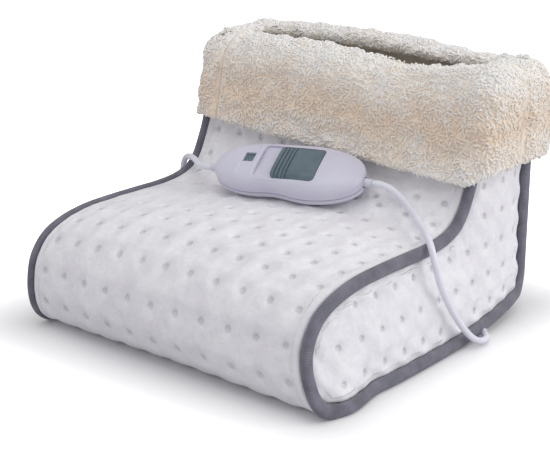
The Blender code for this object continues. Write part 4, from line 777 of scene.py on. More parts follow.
def cuff_profile(station):
    """The closed section of the cuff at a station, and how much of the pile each point bears."""
    hem = cuff_hem(station)
    half = CUFF_HALF_THICKNESS
    centre = LEG_INSET - ROLL_WIDTH
    section = []
    for step in range(14):
        angle = math.pi * step / 14
        section.append((LEG_INSET - half * math.cos(angle), hem + half - half * math.sin(angle), step / 14))
    for step in range(32):
        section.append((LEG_INSET + half, hem + half + (WALL_TOP - hem - half) * step / 32, 1.0))
    for step in range(28):
        angle = ROLL_END * step / 28
        section.append((centre + (ROLL_WIDTH + half) * math.cos(angle),
                        WALL_TOP + (ROLL_HEIGHT + half) * math.sin(angle), 1.0))
    for step in range(12):
        angle = ROLL_END + math.pi * step / 12
        tip = (centre + ROLL_WIDTH * math.cos(ROLL_END), WALL_TOP + ROLL_HEIGHT * math.sin(ROLL_END))
        section.append((tip[0] + half * math.cos(angle), tip[1] + half * math.sin(angle), 1 - step / 12))
    for step in range(12):
        angle = ROLL_END * (1 - step / 12)
        section.append((centre + (ROLL_WIDTH - half) * math.cos(angle),
                        WALL_TOP + (ROLL_HEIGHT - half) * math.sin(angle), 0.0))
    for step in range(8):
        section.append((LEG_INSET - half, WALL_TOP + (hem + half - WALL_TOP) * step / 8, 0.0))
    return section


def stations_between(first, last):
    """Stations a pile step apart between two stations, the first one included."""
    far = (cuff_point(last, LEG_INSET, WALL_TOP) - cuff_point(first, LEG_INSET, WALL_TOP)).length
    count = max(2, round(far / PILE_STEP))
    return [tuple(a + (b - a) * step / count for a, b in zip(first, last)) for step in range(count)]


SHERPA_WAIST = 0.168
SHERPA_PAINTED_LIGHT = 7.0


def sherpa_finish(name):
    """Sherpa: cream in curls of 3 to 6 mm, with painted shade at the roots of its locks and on the backing between
    them, and painted light that makes it paler the farther it lies above or below the waist, on the top of the roll and
    at the hem.
    """
    made = Finish(name, 1.0, {
        "Sheen Weight": 0.5, "Sheen Roughness": 0.5, "Specular IOR Level": 0.05, "Subsurface Weight": 0.35,
        "Subsurface Radius": (0.004, 0.0035, 0.003)})
    height = made.attribute("pile")
    drift = made.noise(0.030, 3.0)
    curls = made.noise(0.0045, 3.0, roughness=0.6)
    fibres = made.noise(0.0008, 3.0, roughness=0.7)
    up = made.node("ShaderNodeSeparateXYZ", {}, {"Vector": made.place}, output="Z")
    from_waist = up.maths("ABSOLUTE", up - SHERPA_WAIST)
    # Painted shade and light: a low pile value darkens the locks' roots and the backing, and the distance from the
    # waist pales the roll and the hem; the curls and drift are the sherpa's own tone.
    tone_and_painted_light = made.ramp(height * 0.3 + curls * 0.3 + drift * 0.4 + from_waist * SHERPA_PAINTED_LIGHT, 0.25, 0.95)
    made.colour(made.mix(tone_and_painted_light, srgb("f3dfc8"), srgb("fffefb")))
    return made.bump(curls * 0.4 + fibres * 0.6, 0.0006)


def curled_lock(material):
    """One lock of the pile: a soft tapered curl whose pile value runs from 0 at its root to 1 at its tip, which the
    sherpa turns into painted shade at the root.
    """
    bm = bmesh.new()
    root_shade_layer = bm.verts.layers.float.new("pile")
    place, rings = Vector((0.0, 0.0, -LOCK_SUNK)), []
    for ring in range(LOCK_RINGS):
        share = ring / (LOCK_RINGS - 1)
        turn = LOCK_CURL * share ** 1.3
        way = Vector((math.sin(turn), 0.0, math.cos(turn)))
        side = Vector((math.cos(turn), 0.0, -math.sin(turn)))
        radius = LOCK_RADIUS * (1.0 - 0.55 * share ** 2)
        points = []
        for corner in range(LOCK_SIDES):
            angle = math.tau * corner / LOCK_SIDES
            vert = bm.verts.new(
                place + side * radius * math.cos(angle) + Vector((0, radius * math.sin(angle), 0)))
            vert[root_shade_layer] = share
            points.append(vert)
        rings.append(points)
        place = place + way * LOCK_LENGTH / (LOCK_RINGS - 1)
    for ring, after in zip(rings, rings[1:]):
        for a, b, c, d in zip(ring, ring[1:] + ring[:1], after[1:] + after[:1], after):
            bm.faces.new((a, b, c, d))
    bm.faces.new(rings[0])
    bm.faces.new(rings[-1])
    bmesh.ops.recalc_face_normals(bm, faces=bm.faces[:])
    mesh = bpy.data.meshes.new("curled_lock")
    bm.to_mesh(mesh)
    bm.free()
    mesh.shade_smooth()
    mesh.materials.append(material)
    return bpy.data.objects.new("curled_lock", mesh)


def pile_group():
    """Geometry nodes that stand locks of pile all over a backing, swirling together in curls."""
    group = bpy.data.node_groups.new("sherpa_pile", "GeometryNodeTree")
    sockets = {}
    for label, kind in (("Backing", "NodeSocketGeometry"), ("Lock", "NodeSocketObject"),
                        ("Spacing", "NodeSocketFloat"), ("Swirl Size", "NodeSocketFloat"),
                        ("Lean", "NodeSocketFloat"), ("Seed", "NodeSocketInt"), ("Pile", "NodeSocketMaterial")):
        sockets[label] = group.interface.new_socket(label, in_out="INPUT", socket_type=kind).identifier
    group.interface.new_socket("Fleece", in_out="OUTPUT", socket_type="NodeSocketGeometry")
    given = group.nodes.new("NodeGroupInput").outputs

    def node(kind, settings=None, **values):
        made = group.nodes.new(kind)
        for key, value in (settings or {}).items():
            setattr(made, key, value)
        for key, value in values.items():
            socket = made.inputs[int(key[1:])] if key[1:].isdigit() else made.inputs[key.replace("_", " ")]
            if isinstance(value, bpy.types.NodeSocket):
                group.links.new(value, socket)
            else:
                socket.default_value = value
        return made.outputs

    nap = node("GeometryNodeInputNamedAttribute", {"data_type": "FLOAT"}, Name="nap")[0]
    spread = node("GeometryNodeDistributePointsOnFaces", {"distribute_method": "POISSON"},
                  Mesh=given["Backing"], Distance_Min=given["Spacing"], Density_Max=LOCK_DENSITY,
                  Density_Factor=nap, Seed=given["Seed"])
    lock = node("GeometryNodeObjectInfo", Object=given["Lock"])["Geometry"]
    place = node("GeometryNodeInputPosition")[0]
    scale = node("ShaderNodeMath", {"operation": "DIVIDE"}, _0=1.0, _1=given["Swirl Size"])[0]
    swirl = node("ShaderNodeTexNoise", Vector=place, Scale=scale, Detail=1.0)[0]
    spin = node("ShaderNodeMath", {"operation": "MULTIPLY"}, _0=swirl, _1=SWIRL_TURNS * math.tau)[0]
    stray = node("FunctionNodeRandomValue", {"data_type": "FLOAT"},
                 _2=-LOCK_STRAY, _3=LOCK_STRAY, Seed=given["Seed"])[1]
    turned_by = node("ShaderNodeMath", {"operation": "ADD"}, _0=spin, _1=stray)[0]
    size = node("FunctionNodeRandomValue", {"data_type": "FLOAT"}, _2=LOCK_LEAST, _3=LOCK_MOST, Seed=7)[1]
    thin = node("ShaderNodeMath", {"operation": "MULTIPLY_ADD"}, _0=nap, _1=0.6, _2=0.4)[0]
    grown = node("ShaderNodeMath", {"operation": "MULTIPLY"}, _0=size, _1=thin)[0]
    locks = node("GeometryNodeInstanceOnPoints", Points=spread["Points"], Instance=lock,
                 Rotation=spread["Rotation"], Scale=grown)[0]
    spun = node("GeometryNodeRotateInstances", Instances=locks,
                Rotation=node("ShaderNodeCombineXYZ", Z=turned_by)[0])[0]
    leaning = node("GeometryNodeRotateInstances", Instances=spun,
                   Rotation=node("ShaderNodeCombineXYZ", Y=given["Lean"])[0])[0]
    real = node("GeometryNodeRealizeInstances", Geometry=leaning)[0]
    join = group.nodes.new("GeometryNodeJoinGeometry")
    group.links.new(given["Backing"], join.inputs[0])
    group.links.new(real, join.inputs[0])
    covered = node("GeometryNodeSetMaterial", Geometry=join.outputs[0], Material=given["Pile"])[0]
    group.links.new(covered, group.nodes.new("NodeGroupOutput").inputs[0])
    return group, sockets


BACK_STARTS = 0.085
BACK_ENDS = 0.115
PUFF_MIDDLE = -0.03
PUFF_HALF = 0.13
SAG_MIDDLE = 0.055
SAG_WIDTH = 0.055
DRAWN_X = -0.161
DRAWN_Y = 0.052
DRAWN_REACH = 0.040
PINCH_DEPTH = 0.0042
PINCH_REACH = 0.009
FOLD_LIFT = 0.0022
FOLD_LENGTH = 0.09
FOLD_HEIGHT = 0.030
LUMP_LIFT = 0.0022
LUMP_SIZE = 0.012


def settled(place, weight):
    """A point of the cuff as it lies: its back puffed up, its front lip sagging, one corner drawn in."""
    high = smoothstep(place.z, WALL_TOP - 0.01, WALL_TOP + ROLL_HEIGHT)
    back = smoothstep(place.y, BACK_STARTS, BACK_ENDS)
    middle = 1 - min(abs(place.x - PUFF_MIDDLE) / PUFF_HALF, 1.0) ** 2
    lip = math.exp(-((place.x - SAG_MIDDLE) / SAG_WIDTH) ** 2)
    corner = 1 - smoothstep(math.hypot(place.x - DRAWN_X, place.y - DRAWN_Y), 0.0, DRAWN_REACH)
    moved = Vector((CORNER_DRAWN_IN * corner, CORNER_DRAWN_IN * 0.4 * corner, 0.0)) * weight
    moved.z = high * (BACK_PUFF * back * middle - LIP_SAG * (1 - back) * lip)
    return place + moved


def cuff_body(name, stations, material):
    """One piece of the cuff: a closed backing swept through its stations, under its pile."""
    rings = []
    weights = []
    count = len(stations)
    for number, station in enumerate(stations):
        end = min(number, count - 1 - number) * PILE_STEP
        pinch = PINCH_DEPTH * (1 - smoothstep(end, 0.0, PINCH_REACH)) ** 2
        ring = []
        for out, z, weight in cuff_profile(station):
            ring.append(settled(cuff_point(station, out - pinch * weight, z), weight))
            weights.append(weight * (0.1 + 0.9 * smoothstep(end, 0.001, 0.006)))
        rings.append(ring)
    bm = bmesh.new()
    grid = [[bm.verts.new(place) for place in ring] for ring in rings]
    for ring, after in zip(grid, grid[1:]):
        for a, b, c, d in zip(ring, ring[1:] + ring[:1], after[1:] + after[:1], after):
            bm.faces.new((a, b, c, d))
    bm.faces.new(grid[0])
    bm.faces.new(list(reversed(grid[-1])))
    bmesh.ops.recalc_face_normals(bm, faces=bm.faces[:])
    bm.normal_update()
    shifts = []
    for vert, weight in zip(bm.verts, weights):
        folds_at = Vector((vert.co.x / FOLD_LENGTH, vert.co.y / FOLD_LENGTH, vert.co.z / FOLD_HEIGHT))
        fold = noise.noise(folds_at + Vector((3, 7, 1)))
        lump = noise.noise(vert.co / LUMP_SIZE)
        shifts.append(vert.normal * weight * (FOLD_LIFT * fold + LUMP_LIFT * lump - LOCK_ROOM))
    for vert, shift in zip(bm.verts, shifts):
        vert.co += shift
    mesh = bpy.data.meshes.new(name)
    bm.to_mesh(mesh)
    bm.free()
    mesh.attributes.new("nap", "FLOAT", "POINT").data.foreach_set("value", weights)
    # The backing's low pile value gives it the dark root colour, a painted shade between the locks.
    mesh.attributes.new("pile", "FLOAT", "POINT").data.foreach_set("value", [0.1] * len(weights))
    mesh.shade_smooth()
    mesh.materials.append(material)
    backing = bpy.data.objects.new(name + "_backing", mesh)
    world_collection.objects.link(backing)
    scatter = backing.modifiers.new("pile", "NODES")
    scatter.node_group = pile_nodes
    for label, value in (("Lock", lock), ("Spacing", LOCK_SPACING), ("Swirl Size", 0.007), ("Lean", 0.75),
                         ("Seed", 11), ("Pile", material)):
        scatter[pile_sockets[label]] = value
    fleece_mesh = bpy.data.meshes.new_from_object(
        backing.evaluated_get(bpy.context.evaluated_depsgraph_get()), preserve_all_data_layers=True,
        depsgraph=bpy.context.evaluated_depsgraph_get())
    bpy.data.objects.remove(backing)
    fleece_mesh.name = name
    made = bpy.data.objects.new(name, fleece_mesh)
    world_collection.objects.link(made)
    return made


sherpa = sherpa_finish("sherpa").material
lock = curled_lock(sherpa)
pile_nodes, pile_sockets = pile_group()
SEAM_SHARE = 0.117 / (0.1432 - CUFF_CORNER)
GAP_X = 0.0006 / 0.1432
GAP_Y = 0.0006 / HEEL_REACH * 4
quarter = math.radians(90)
cuff_runs = {
    "cuff_front": ((-SEAM_SHARE, -1, -quarter), (1, -1, -quarter), (1, -1, 0.0), (1, -GAP_Y, 0.0)),
    "cuff_back": ((1, GAP_Y, 0.0), (1, 1, 0.0), (1, 1, quarter), (-SEAM_SHARE, 1, quarter)),
    "cuff_left": ((-SEAM_SHARE - GAP_X, 1, quarter), (-1, 1, quarter), (-1, 1, 2 * quarter), (-1, -1, 2 * quarter),
                  (-1, -1, 3 * quarter), (-SEAM_SHARE - GAP_X, -1, 3 * quarter)),
}
for name, corners in cuff_runs.items():
    stations = []
    for first, last in zip(corners, corners[1:]):
        stations += stations_between(first, last)
    stations.append(corners[-1])
    cuff = cuff_body(name + "_sherpa", stations, sherpa)
    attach(cuff, "boot")
    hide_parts(name)

# The hand controller's casing: two halves of satin lilac-white plastic, moulded 2 mm thick and
# parted low down. The top half has a sunk bed for the slider, a slit in it and a window.
PEBBLE_HALF_LENGTH = 0.068
PEBBLE_HALF_WIDTH = 0.0292
PEBBLE_TAPER = 0.003
PEBBLE_WAIST = 0.0045
PEBBLE_POWER = 3.4
OUTLINE_POWER = 2.5
LIP_SHARE = math.cos(math.pi / 16)
PARTING = 0.0095
TOP_START = 0.0098
TOP_HEIGHT = 0.0158
CASING_WALL = 0.002
FIT_GAP = 0.0003
BED_FLOOR = TOP_START + TOP_HEIGHT - 0.0034
BED_LOW = BED_FLOOR - 0.0016
SLIDER_LEFT = -0.00875
SLIDER_RIGHT = 0.03075
SLIDER_HALF = 0.018
SLIDER_TRAVEL = 0.0154
SLIDER_CORNER = 0.004
WINDOW_X = -0.0345
WINDOW_Y = 0.0018
WINDOW_HALF_X = 0.0046
WINDOW_HALF_Y = 0.0049
controller_place = (Matrix.Translation((-0.0055, 0.0145, 0.10989)) @ Matrix.Rotation(math.radians(13.6), 4, "Z")
                    @ Matrix.Rotation(math.radians(30), 4, "X") @ Matrix.Rotation(math.radians(-2.2), 4, "Y"))


def signed_power(value, power):
    """A power that keeps its base's sign."""
    return math.copysign(abs(value) ** power, value)


def pebble_width(share, side):
    """The casing's half width along its length, narrow at the waist and towards its left end."""
    waist = math.exp(-((share + 0.1) / 0.3) ** 2)
    waist_share = 1.0 if side < 0 else 0.3
    return PEBBLE_HALF_WIDTH - PEBBLE_TAPER * (1 - share) / 2 - PEBBLE_WAIST * waist * waist_share


def pebble_height(x, y):
    """The height of the casing's outer face over a place."""
    y_share = abs(y) / pebble_width(x / PEBBLE_HALF_LENGTH, y)
    spread = ((abs(x) / PEBBLE_HALF_LENGTH) ** OUTLINE_POWER + y_share ** OUTLINE_POWER) ** (1 / OUTLINE_POWER)
    return TOP_START + TOP_HEIGHT * max(1 - LIP_SHARE ** 2 * spread ** PEBBLE_POWER, 0.0) ** (1 / PEBBLE_POWER)


def pebble_half(name, base, height):
    """One half of the casing as an open skin, its rim level."""
    bm = bmesh.new()
    bmesh.ops.create_uvsphere(bm, u_segments=120, v_segments=64, radius=1.0)
    bmesh.ops.delete(bm, geom=[v for v in bm.verts if v.co.z * height < -1e-9], context="VERTS")
    for vert in bm.verts:
        angle = math.atan2(vert.co.y, vert.co.x)
        spread = min(1.0, math.hypot(vert.co.x, vert.co.y) / LIP_SHARE) ** (2 / PEBBLE_POWER)
        x_share = signed_power(math.cos(angle), 2 / OUTLINE_POWER) * spread
        y_share = signed_power(math.sin(angle), 2 / OUTLINE_POWER) * spread
        rise = abs(vert.co.z) ** (2 / PEBBLE_POWER) * height
        vert.co = (PEBBLE_HALF_LENGTH * x_share, pebble_width(x_share, y_share) * y_share, base + rise)
    bmesh.ops.recalc_face_normals(bm, faces=bm.faces[:])
    bm.normal_update()
    if sum(face.normal.z * height < 0 for face in bm.faces) > len(bm.faces) / 2:
        bmesh.ops.reverse_faces(bm, faces=bm.faces[:])
    mesh = bpy.data.meshes.new(name)
    bm.to_mesh(mesh)
    bm.free()
    return mesh


def block(low, high, corner=0.0):
    """A block between two corners, its upright edges rounded if asked."""
    bm = bmesh.new()
    bmesh.ops.create_cube(bm, size=1.0)
    low, high = Vector(low), Vector(high)
    for vert in bm.verts:
        vert.co = (low + high) / 2 + vert.co * (high - low)
    if corner:
        upright = [e for e in bm.edges if abs(e.verts[0].co.z - e.verts[1].co.z) > 1e-6]
        bmesh.ops.bevel(bm, geom=upright, offset=corner, segments=8, profile=0.5, affect="EDGES")
    mesh = bpy.data.meshes.new("block")
    bm.to_mesh(mesh)
    bm.free()
    return mesh


def rod(start, end, radius, sides=32):
    """A straight rod between two points."""
    start, end = Vector(start), Vector(end)
    bm = bmesh.new()
    bmesh.ops.create_cone(
        bm, cap_ends=True, segments=sides, radius1=radius, radius2=radius, depth=(end - start).length)
    turn = Vector((0, 0, 1)).rotation_difference(end - start).to_matrix().to_4x4()
    bmesh.ops.transform(bm, matrix=Matrix.Translation((start + end) / 2) @ turn, verts=bm.verts[:])
    mesh = bpy.data.meshes.new("rod")
    bm.to_mesh(mesh)
    bm.free()
    return mesh


def finished_mesh(made, place=None, sharp=math.radians(32)):
    """Bakes a piece's modifiers, moves it to its place and keeps its hard edges hard."""
    bpy.context.view_layer.update()
    graph = bpy.context.evaluated_depsgraph_get()
    baked = bpy.data.meshes.new_from_object(made.evaluated_get(graph))
    made.modifiers.clear()
    made.data = baked
    bm = bmesh.new()
    bm.from_mesh(baked)
    bmesh.ops.remove_doubles(bm, verts=bm.verts[:], dist=1e-6)
    bmesh.ops.dissolve_degenerate(bm, edges=bm.edges[:], dist=1e-7)
    if place:
        bmesh.ops.transform(bm, matrix=place, verts=bm.verts[:])
    bmesh.ops.recalc_face_normals(bm, faces=bm.faces[:])
    for face in bm.faces:
        face.smooth = True
    for edge in bm.edges:
        edge.smooth = len(edge.link_faces) == 2 and edge.calc_face_angle(0.0) < sharp
    bm.to_mesh(baked)
    bm.free()


def carved(name, mesh, wall, steps, material, place, solver="EXACT"):
    """A moulded piece: a skin given its wall, then joined to or cut by other shapes in turn."""
    made = bpy.data.objects.new(name, mesh)
    world_collection.objects.link(made)
    if wall:
        solid = made.modifiers.new("wall", "SOLIDIFY")
        solid.thickness = wall
        solid.offset = -1.0
        solid.use_even_offset = True
    tools = []
    for operation, tool_mesh in steps:
        tool = bpy.data.objects.new("tool", tool_mesh)
        world_collection.objects.link(tool)
        tools.append(tool)
        change = made.modifiers.new("change", "BOOLEAN")
        change.operation = operation
        change.solver = solver
        change.object = tool
    finished_mesh(made, place)
    for tool in tools:
        bpy.data.objects.remove(tool)
    made.data.materials.clear()
    made.data.materials.append(material)
    return made


def shell_finish(name, pale, dark):
    """Spark-eroded satin plastic: a fine even grain with faint flow clouds and rubbed places, and a dark line of
    painted shade at the parting height.
    """
    made = Finish(name, 0.36, {"IOR": 1.5})
    clouds = made.noise(0.035, 3.0)
    grain = made.noise(0.0005, 2.0)
    shade = made.mix(made.ramp(clouds, 0.3, 0.7), srgb(dark), srgb(pale))
    face_way = controller_place.to_3x3() @ Vector((0, 0, 1))
    parting_at = face_way.dot(controller_place.translation) + PARTING + 0.00015
    over_parting = made.node("ShaderNodeVectorMath", {"operation": "DOT_PRODUCT"}, {
        0: made.place, 1: tuple(face_way)}, "Value") - parting_at
    # Painted shade: a greyish line along the parting height stands in for the shadow in the gap between the two halves.
    seam = made.ramp(over_parting.maths("ABSOLUTE", over_parting), 0.0002, 0.0006, 1.0, 0.0)
    made.colour(made.mix(seam * 0.6, shade, srgb("77768a")))
    made.rough(0.3 + clouds * 0.1 + grain * 0.08)
    return made.bump(grain, 0.00004)


shell_plastic = shell_finish("shell_plastic", "d6d5e3", "cfcedd").material
SLIDER_ROOM = 0.0004
POCKET_WALL = 0.0016
SLIT_LEFT = -0.0098
SLIT_RIGHT = 0.0164
SLIT_HALF = 0.0034
OVER_THE_TOP = 0.03
GLAND_HOLE_RADIUS = 0.0047
GLAND_HOLE_START = 0.054
GLAND_HOLE_END = 0.072
SCREW_PLACES = ((0.05, 0.0), (-0.049, -0.01))
SCREW_HOLE_RADIUS = 0.003
SCREW_HOLE_DEPTH = 0.0042
pocket_left = SLIDER_LEFT - SLIDER_TRAVEL - SLIDER_ROOM
pocket_right = SLIDER_RIGHT + SLIDER_ROOM
pocket_half = SLIDER_HALF + SLIDER_ROOM
gland_hole = [("DIFFERENCE", rod((side * GLAND_HOLE_START, 0, PARTING), (side * GLAND_HOLE_END, 0, PARTING),
                                 GLAND_HOLE_RADIUS)) for side in (1, -1)]
casing_top = carved("casing_top", pebble_half("casing_top", TOP_START, TOP_HEIGHT), CASING_WALL, [
    ("UNION", block((pocket_left - POCKET_WALL, -pocket_half - POCKET_WALL, BED_LOW),
                    (pocket_right + POCKET_WALL, pocket_half + POCKET_WALL, BED_FLOOR + FIT_GAP), SLIDER_CORNER)),
    ("DIFFERENCE", block((pocket_left, -pocket_half, BED_FLOOR),
                         (pocket_right, pocket_half, OVER_THE_TOP), SLIDER_CORNER)),
    ("DIFFERENCE", block((SLIT_LEFT, -SLIT_HALF, 0.01), (SLIT_RIGHT, SLIT_HALF, OVER_THE_TOP))),
    ("DIFFERENCE", block(
        (WINDOW_X - WINDOW_HALF_X - FIT_GAP, WINDOW_Y - WINDOW_HALF_Y - FIT_GAP, 0.015),
        (WINDOW_X + WINDOW_HALF_X + FIT_GAP, WINDOW_Y + WINDOW_HALF_Y + FIT_GAP, OVER_THE_TOP), 0.0008)),
] + gland_hole, shell_plastic, controller_place)
# The lower half is cut with the fast solver, because the exact one leaves nothing of it.
casing_bottom = carved("casing_bottom", pebble_half("casing_bottom", PARTING, -PARTING), CASING_WALL, [
    ("DIFFERENCE", rod((x, y, -0.002), (x, y, SCREW_HOLE_DEPTH), SCREW_HOLE_RADIUS)) for x, y in SCREW_PLACES
] + gland_hole, shell_plastic, controller_place, "FAST")
for piece, node in ((casing_top, "controller_top_shell"), (casing_bottom, "controller_bottom_shell")):
    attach(piece, "boot")
    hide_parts(node)

# The fine raised lines on the casing round the window and along the slider's track, moulded
# with it: half-round beads 0.6 mm wide.
BEAD_RADIUS = 0.00036


def bead(bm, points):
    """One half-sunk bead along the casing through places given as x and y."""
    line = spaced([Vector(point) for point in points], max(6, round(line_length(points) / 0.0008)))
    rings = []
    for number, point in enumerate(line):
        along = (line[min(number + 1, len(line) - 1)] - line[max(number - 1, 0)]).normalized()
        middle = Vector((point.x, point.y, pebble_height(point.x, point.y)))
        end = min(number, len(line) - 1 - number) / 2
        girth = BEAD_RADIUS * min(1.0, 0.25 + 0.75 * end)
        rings.append([bm.verts.new(middle + girth * Vector((along.y * math.cos(turn), -along.x * math.cos(turn),
                                                            math.sin(turn))))
                      for turn in (math.tau * corner / 8 for corner in range(8))])
    for ring, after in zip(rings, rings[1:]):
        for a, b, c, d in zip(ring, ring[1:] + ring[:1], after[1:] + after[:1], after):
            bm.faces.new((a, b, c, d))
    bm.faces.new(rings[0])
    bm.faces.new(list(reversed(rings[-1])))


bead_bm = bmesh.new()
for points in (((-0.0262, 0.0150), (-0.0262, -0.0196)), ((-0.0410, -0.0052), (-0.0410, -0.0165)),
               ((-0.0410, 0.0022), (-0.0410, -0.0030)), ((-0.0400, 0.0160), (-0.0292, 0.0160))):
    bead(bead_bm, points)
bead_mesh = bpy.data.meshes.new("casing_beads")
bead_bm.to_mesh(bead_mesh)
bead_bm.free()
casing_beads = bpy.data.objects.new("casing_beads", bead_mesh)
world_collection.objects.link(casing_beads)
finished_mesh(casing_beads, controller_place)
bead_mesh = casing_beads.data
# The beads get a paler copy of the casing's plastic, a painted highlight along each raised line.
bead_mesh.materials.append(shell_finish("bead_plastic", "e6e5f0", "dddce9").material)
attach(casing_beads, "boot")

# The slider: slate-grey plastic, crowned like the casing, with four grooves across its left
# end for the thumb. Its stem and foot go down through the slit.
RIB_PITCH = 0.0034
GROOVE_WIDTH = 0.0016
GROOVE_DEPTH = 0.0013
SLIDER_PROUD = 0.0012
slider_bm = bmesh.new()
bmesh.ops.create_grid(slider_bm, x_segments=158, y_segments=72, size=1.0)
slider_middle = (SLIDER_LEFT + SLIDER_RIGHT) / 2
half = Vector(((SLIDER_RIGHT - SLIDER_LEFT) / 2, SLIDER_HALF))
for vert in slider_bm.verts:
    x, y = vert.co.x * half.x, vert.co.y * half.y
    past = Vector((abs(x) - half.x + SLIDER_CORNER, abs(y) - half.y + SLIDER_CORNER))
    if past.x > 0 and past.y > 0:
        reach = max(past.x, past.y)
        past = past.normalized() * reach
        x = math.copysign(half.x - SLIDER_CORNER + past.x, x)
        y = math.copysign(half.y - SLIDER_CORNER + past.y, y)
        edge = SLIDER_CORNER - reach
    else:
        edge = min(half.x - abs(x), half.y - abs(y))
    x += slider_middle
    groove = 0.0
    for number in range(4):
        middle = SLIDER_LEFT + RIB_PITCH * (number + 1) + GROOVE_WIDTH / 2
        groove = max(groove, 1 - (abs(x - middle) / (GROOVE_WIDTH / 2)) ** 4)
    rise = pebble_height(x, y) + SLIDER_PROUD * smoothstep(half.y - abs(y), 0.0, 0.004)
    vert.co = (x, y, rise - GROOVE_DEPTH * max(groove, 0.0) - 0.0005 * (1 - smoothstep(edge, 0.0, 0.0009)))
skirt = bmesh.ops.extrude_edge_only(slider_bm, edges=[e for e in slider_bm.edges if e.is_boundary])["geom"]
for item in skirt:
    if isinstance(item, bmesh.types.BMVert):
        item.co.z = BED_FLOOR + FIT_GAP
bmesh.ops.contextual_create(slider_bm, geom=[e for e in slider_bm.edges if e.is_boundary])
slider_mesh = bpy.data.meshes.new("slider_cap")
slider_bm.to_mesh(slider_mesh)
slider_bm.free()
slider_finish = Finish("slider_plastic", 0.42, {"IOR": 1.5})
slider_clouds = slider_finish.noise(0.012, 4.0)
slider_grain = slider_finish.noise(0.0006, 3.0)
slider_shade = slider_finish.ramp(slider_clouds, 0.3, 0.7)
slider_finish.colour(slider_finish.mix(slider_shade, srgb("596a72"), srgb("65767e")))
slider_finish.rough(0.36 + slider_clouds * 0.12 + slider_grain * 0.08)
slider_finish.bump(slider_grain, 0.00006)
slider_cap = carved("slider_cap", slider_mesh, 0.0, [
    ("UNION", block((0.006, -0.003, 0.0198), (0.016, 0.003, 0.0235))),
    ("UNION", block((-0.003, -0.008, 0.0194), (0.025, 0.008, 0.0203), 0.002)),
], slider_finish.material, controller_place)
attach(slider_cap, "slider")
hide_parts("controller_slider")

# The setting strip under the window, which slides with the thumb piece: blue-grey plastic
# with the numbers 0 to 3 printed on it, one at a time under the clear lens.
DIGIT_PITCH = SLIDER_TRAVEL / 3
STRIP_TOP = 0.0202
FIRST_DIGIT = (-0.0362, 0.0036)
strip_finish = Finish("strip_plastic", 0.5)
strip_clouds = strip_finish.noise(0.004, 3.0)
strip_finish.colour(strip_finish.mix(strip_clouds, srgb("7f9aa6"), srgb("93adb8")))
strip_finish.bump(strip_finish.noise(0.0004, 2.0), 0.00003)
strip_block = block((-0.0400, -0.0042, STRIP_TOP - 0.001), (-0.0035, 0.0078, STRIP_TOP), 0.0006)
setting_strip = carved("setting_strip", strip_block,
                       0.0, [], strip_finish.material, controller_place)
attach(setting_strip, "slider")
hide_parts("number_strip")
digit_bm = bmesh.new()
for number in range(4):
    text = bpy.data.curves.new("digit", "FONT")
    text.body = str(number)
    text.size = 0.0072
    text.align_x = "CENTER"
    text.align_y = "CENTER"
    text.extrude = 0.00005
    text.offset = 0.0002
    written = bpy.data.objects.new("digit", text)
    world_collection.objects.link(written)
    bpy.context.view_layer.update()
    flat = bpy.data.meshes.new_from_object(written.evaluated_get(bpy.context.evaluated_depsgraph_get()))
    bpy.data.objects.remove(written)
    digit_at = (FIRST_DIGIT[0] + number * DIGIT_PITCH, FIRST_DIGIT[1], STRIP_TOP + 0.00005)
    flat.transform(Matrix.Translation(digit_at))
    digit_bm.from_mesh(flat)
digit_mesh = bpy.data.meshes.new("strip_digits")
digit_bm.to_mesh(digit_mesh)
digit_bm.free()
strip_digits = bpy.data.objects.new("strip_digits", digit_mesh)
world_collection.objects.link(strip_digits)
finished_mesh(strip_digits, controller_place)
ink = Finish("printed_ink", 0.6)
ink.colour(ink.mix(ink.noise(0.0008, 3.0), srgb("141a22"), srgb("222a34")))
strip_digits.data.materials.append(ink.material)
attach(strip_digits, "slider")
lens_finish = Finish("window_clear", 0.06, {"Alpha": 0.22, "IOR": 1.49})
lens_finish.colour(lens_finish.mix(lens_finish.noise(0.006, 2.0), srgb("8fa8b4"), srgb("a4bac4")))
lens_finish.rough(0.04 + lens_finish.noise(0.0015, 3.0) * 0.06)
nodes["window_lens"].data.materials.clear()
nodes["window_lens"].data.materials.append(lens_finish.material)

# The moulded glands and the plug: soft PVC strain reliefs with rings that let them bend, and
# a two-pin plug moulded onto the flex, with grips on its sides.


def turned(name, profile, place, material, sides=40):
    """A piece turned about the x axis from (x, radius) points, and put in its place."""
    bm = bmesh.new()
    rings = [[bm.verts.new(place @ Vector((x, radius * math.cos(turn), radius * math.sin(turn))))
              for turn in (math.tau * side / sides for side in range(sides))] for x, radius in profile]
    for ring, after in zip(rings, rings[1:]):
        for a, b, c, d in zip(ring, ring[1:] + ring[:1], after[1:] + after[:1], after):
            bm.faces.new((a, b, c, d))
    bm.faces.new(rings[0])
    bm.faces.new(list(reversed(rings[-1])))
    mesh = bpy.data.meshes.new(name)
    bm.to_mesh(mesh)
    bm.free()
    made = bpy.data.objects.new(name, mesh)
    world_collection.objects.link(made)
    finished_mesh(made)
    made.data.materials.append(material)
    return made


def relief_profile(start, end, wide, narrow, rings, first):
    """A strain relief's (x, radius) points, tapering from wide to narrow with rings round it."""
    points = [(start, wide * 0.97), (start + 0.0002, wide)]
    steps = 60
    for step in range(1, steps):
        share = step / steps
        radius = wide + (narrow - wide) * share
        ring = (share - first) / (1 - first) * rings
        if 0 < ring < rings - 0.2:
            radius -= 0.0005 * max(0.0, math.cos(math.tau * (ring + 0.5))) ** 2
        points.append((start + (end - start) * share, radius))
    return points + [(end - 0.0002, narrow), (end, narrow * 0.96)]


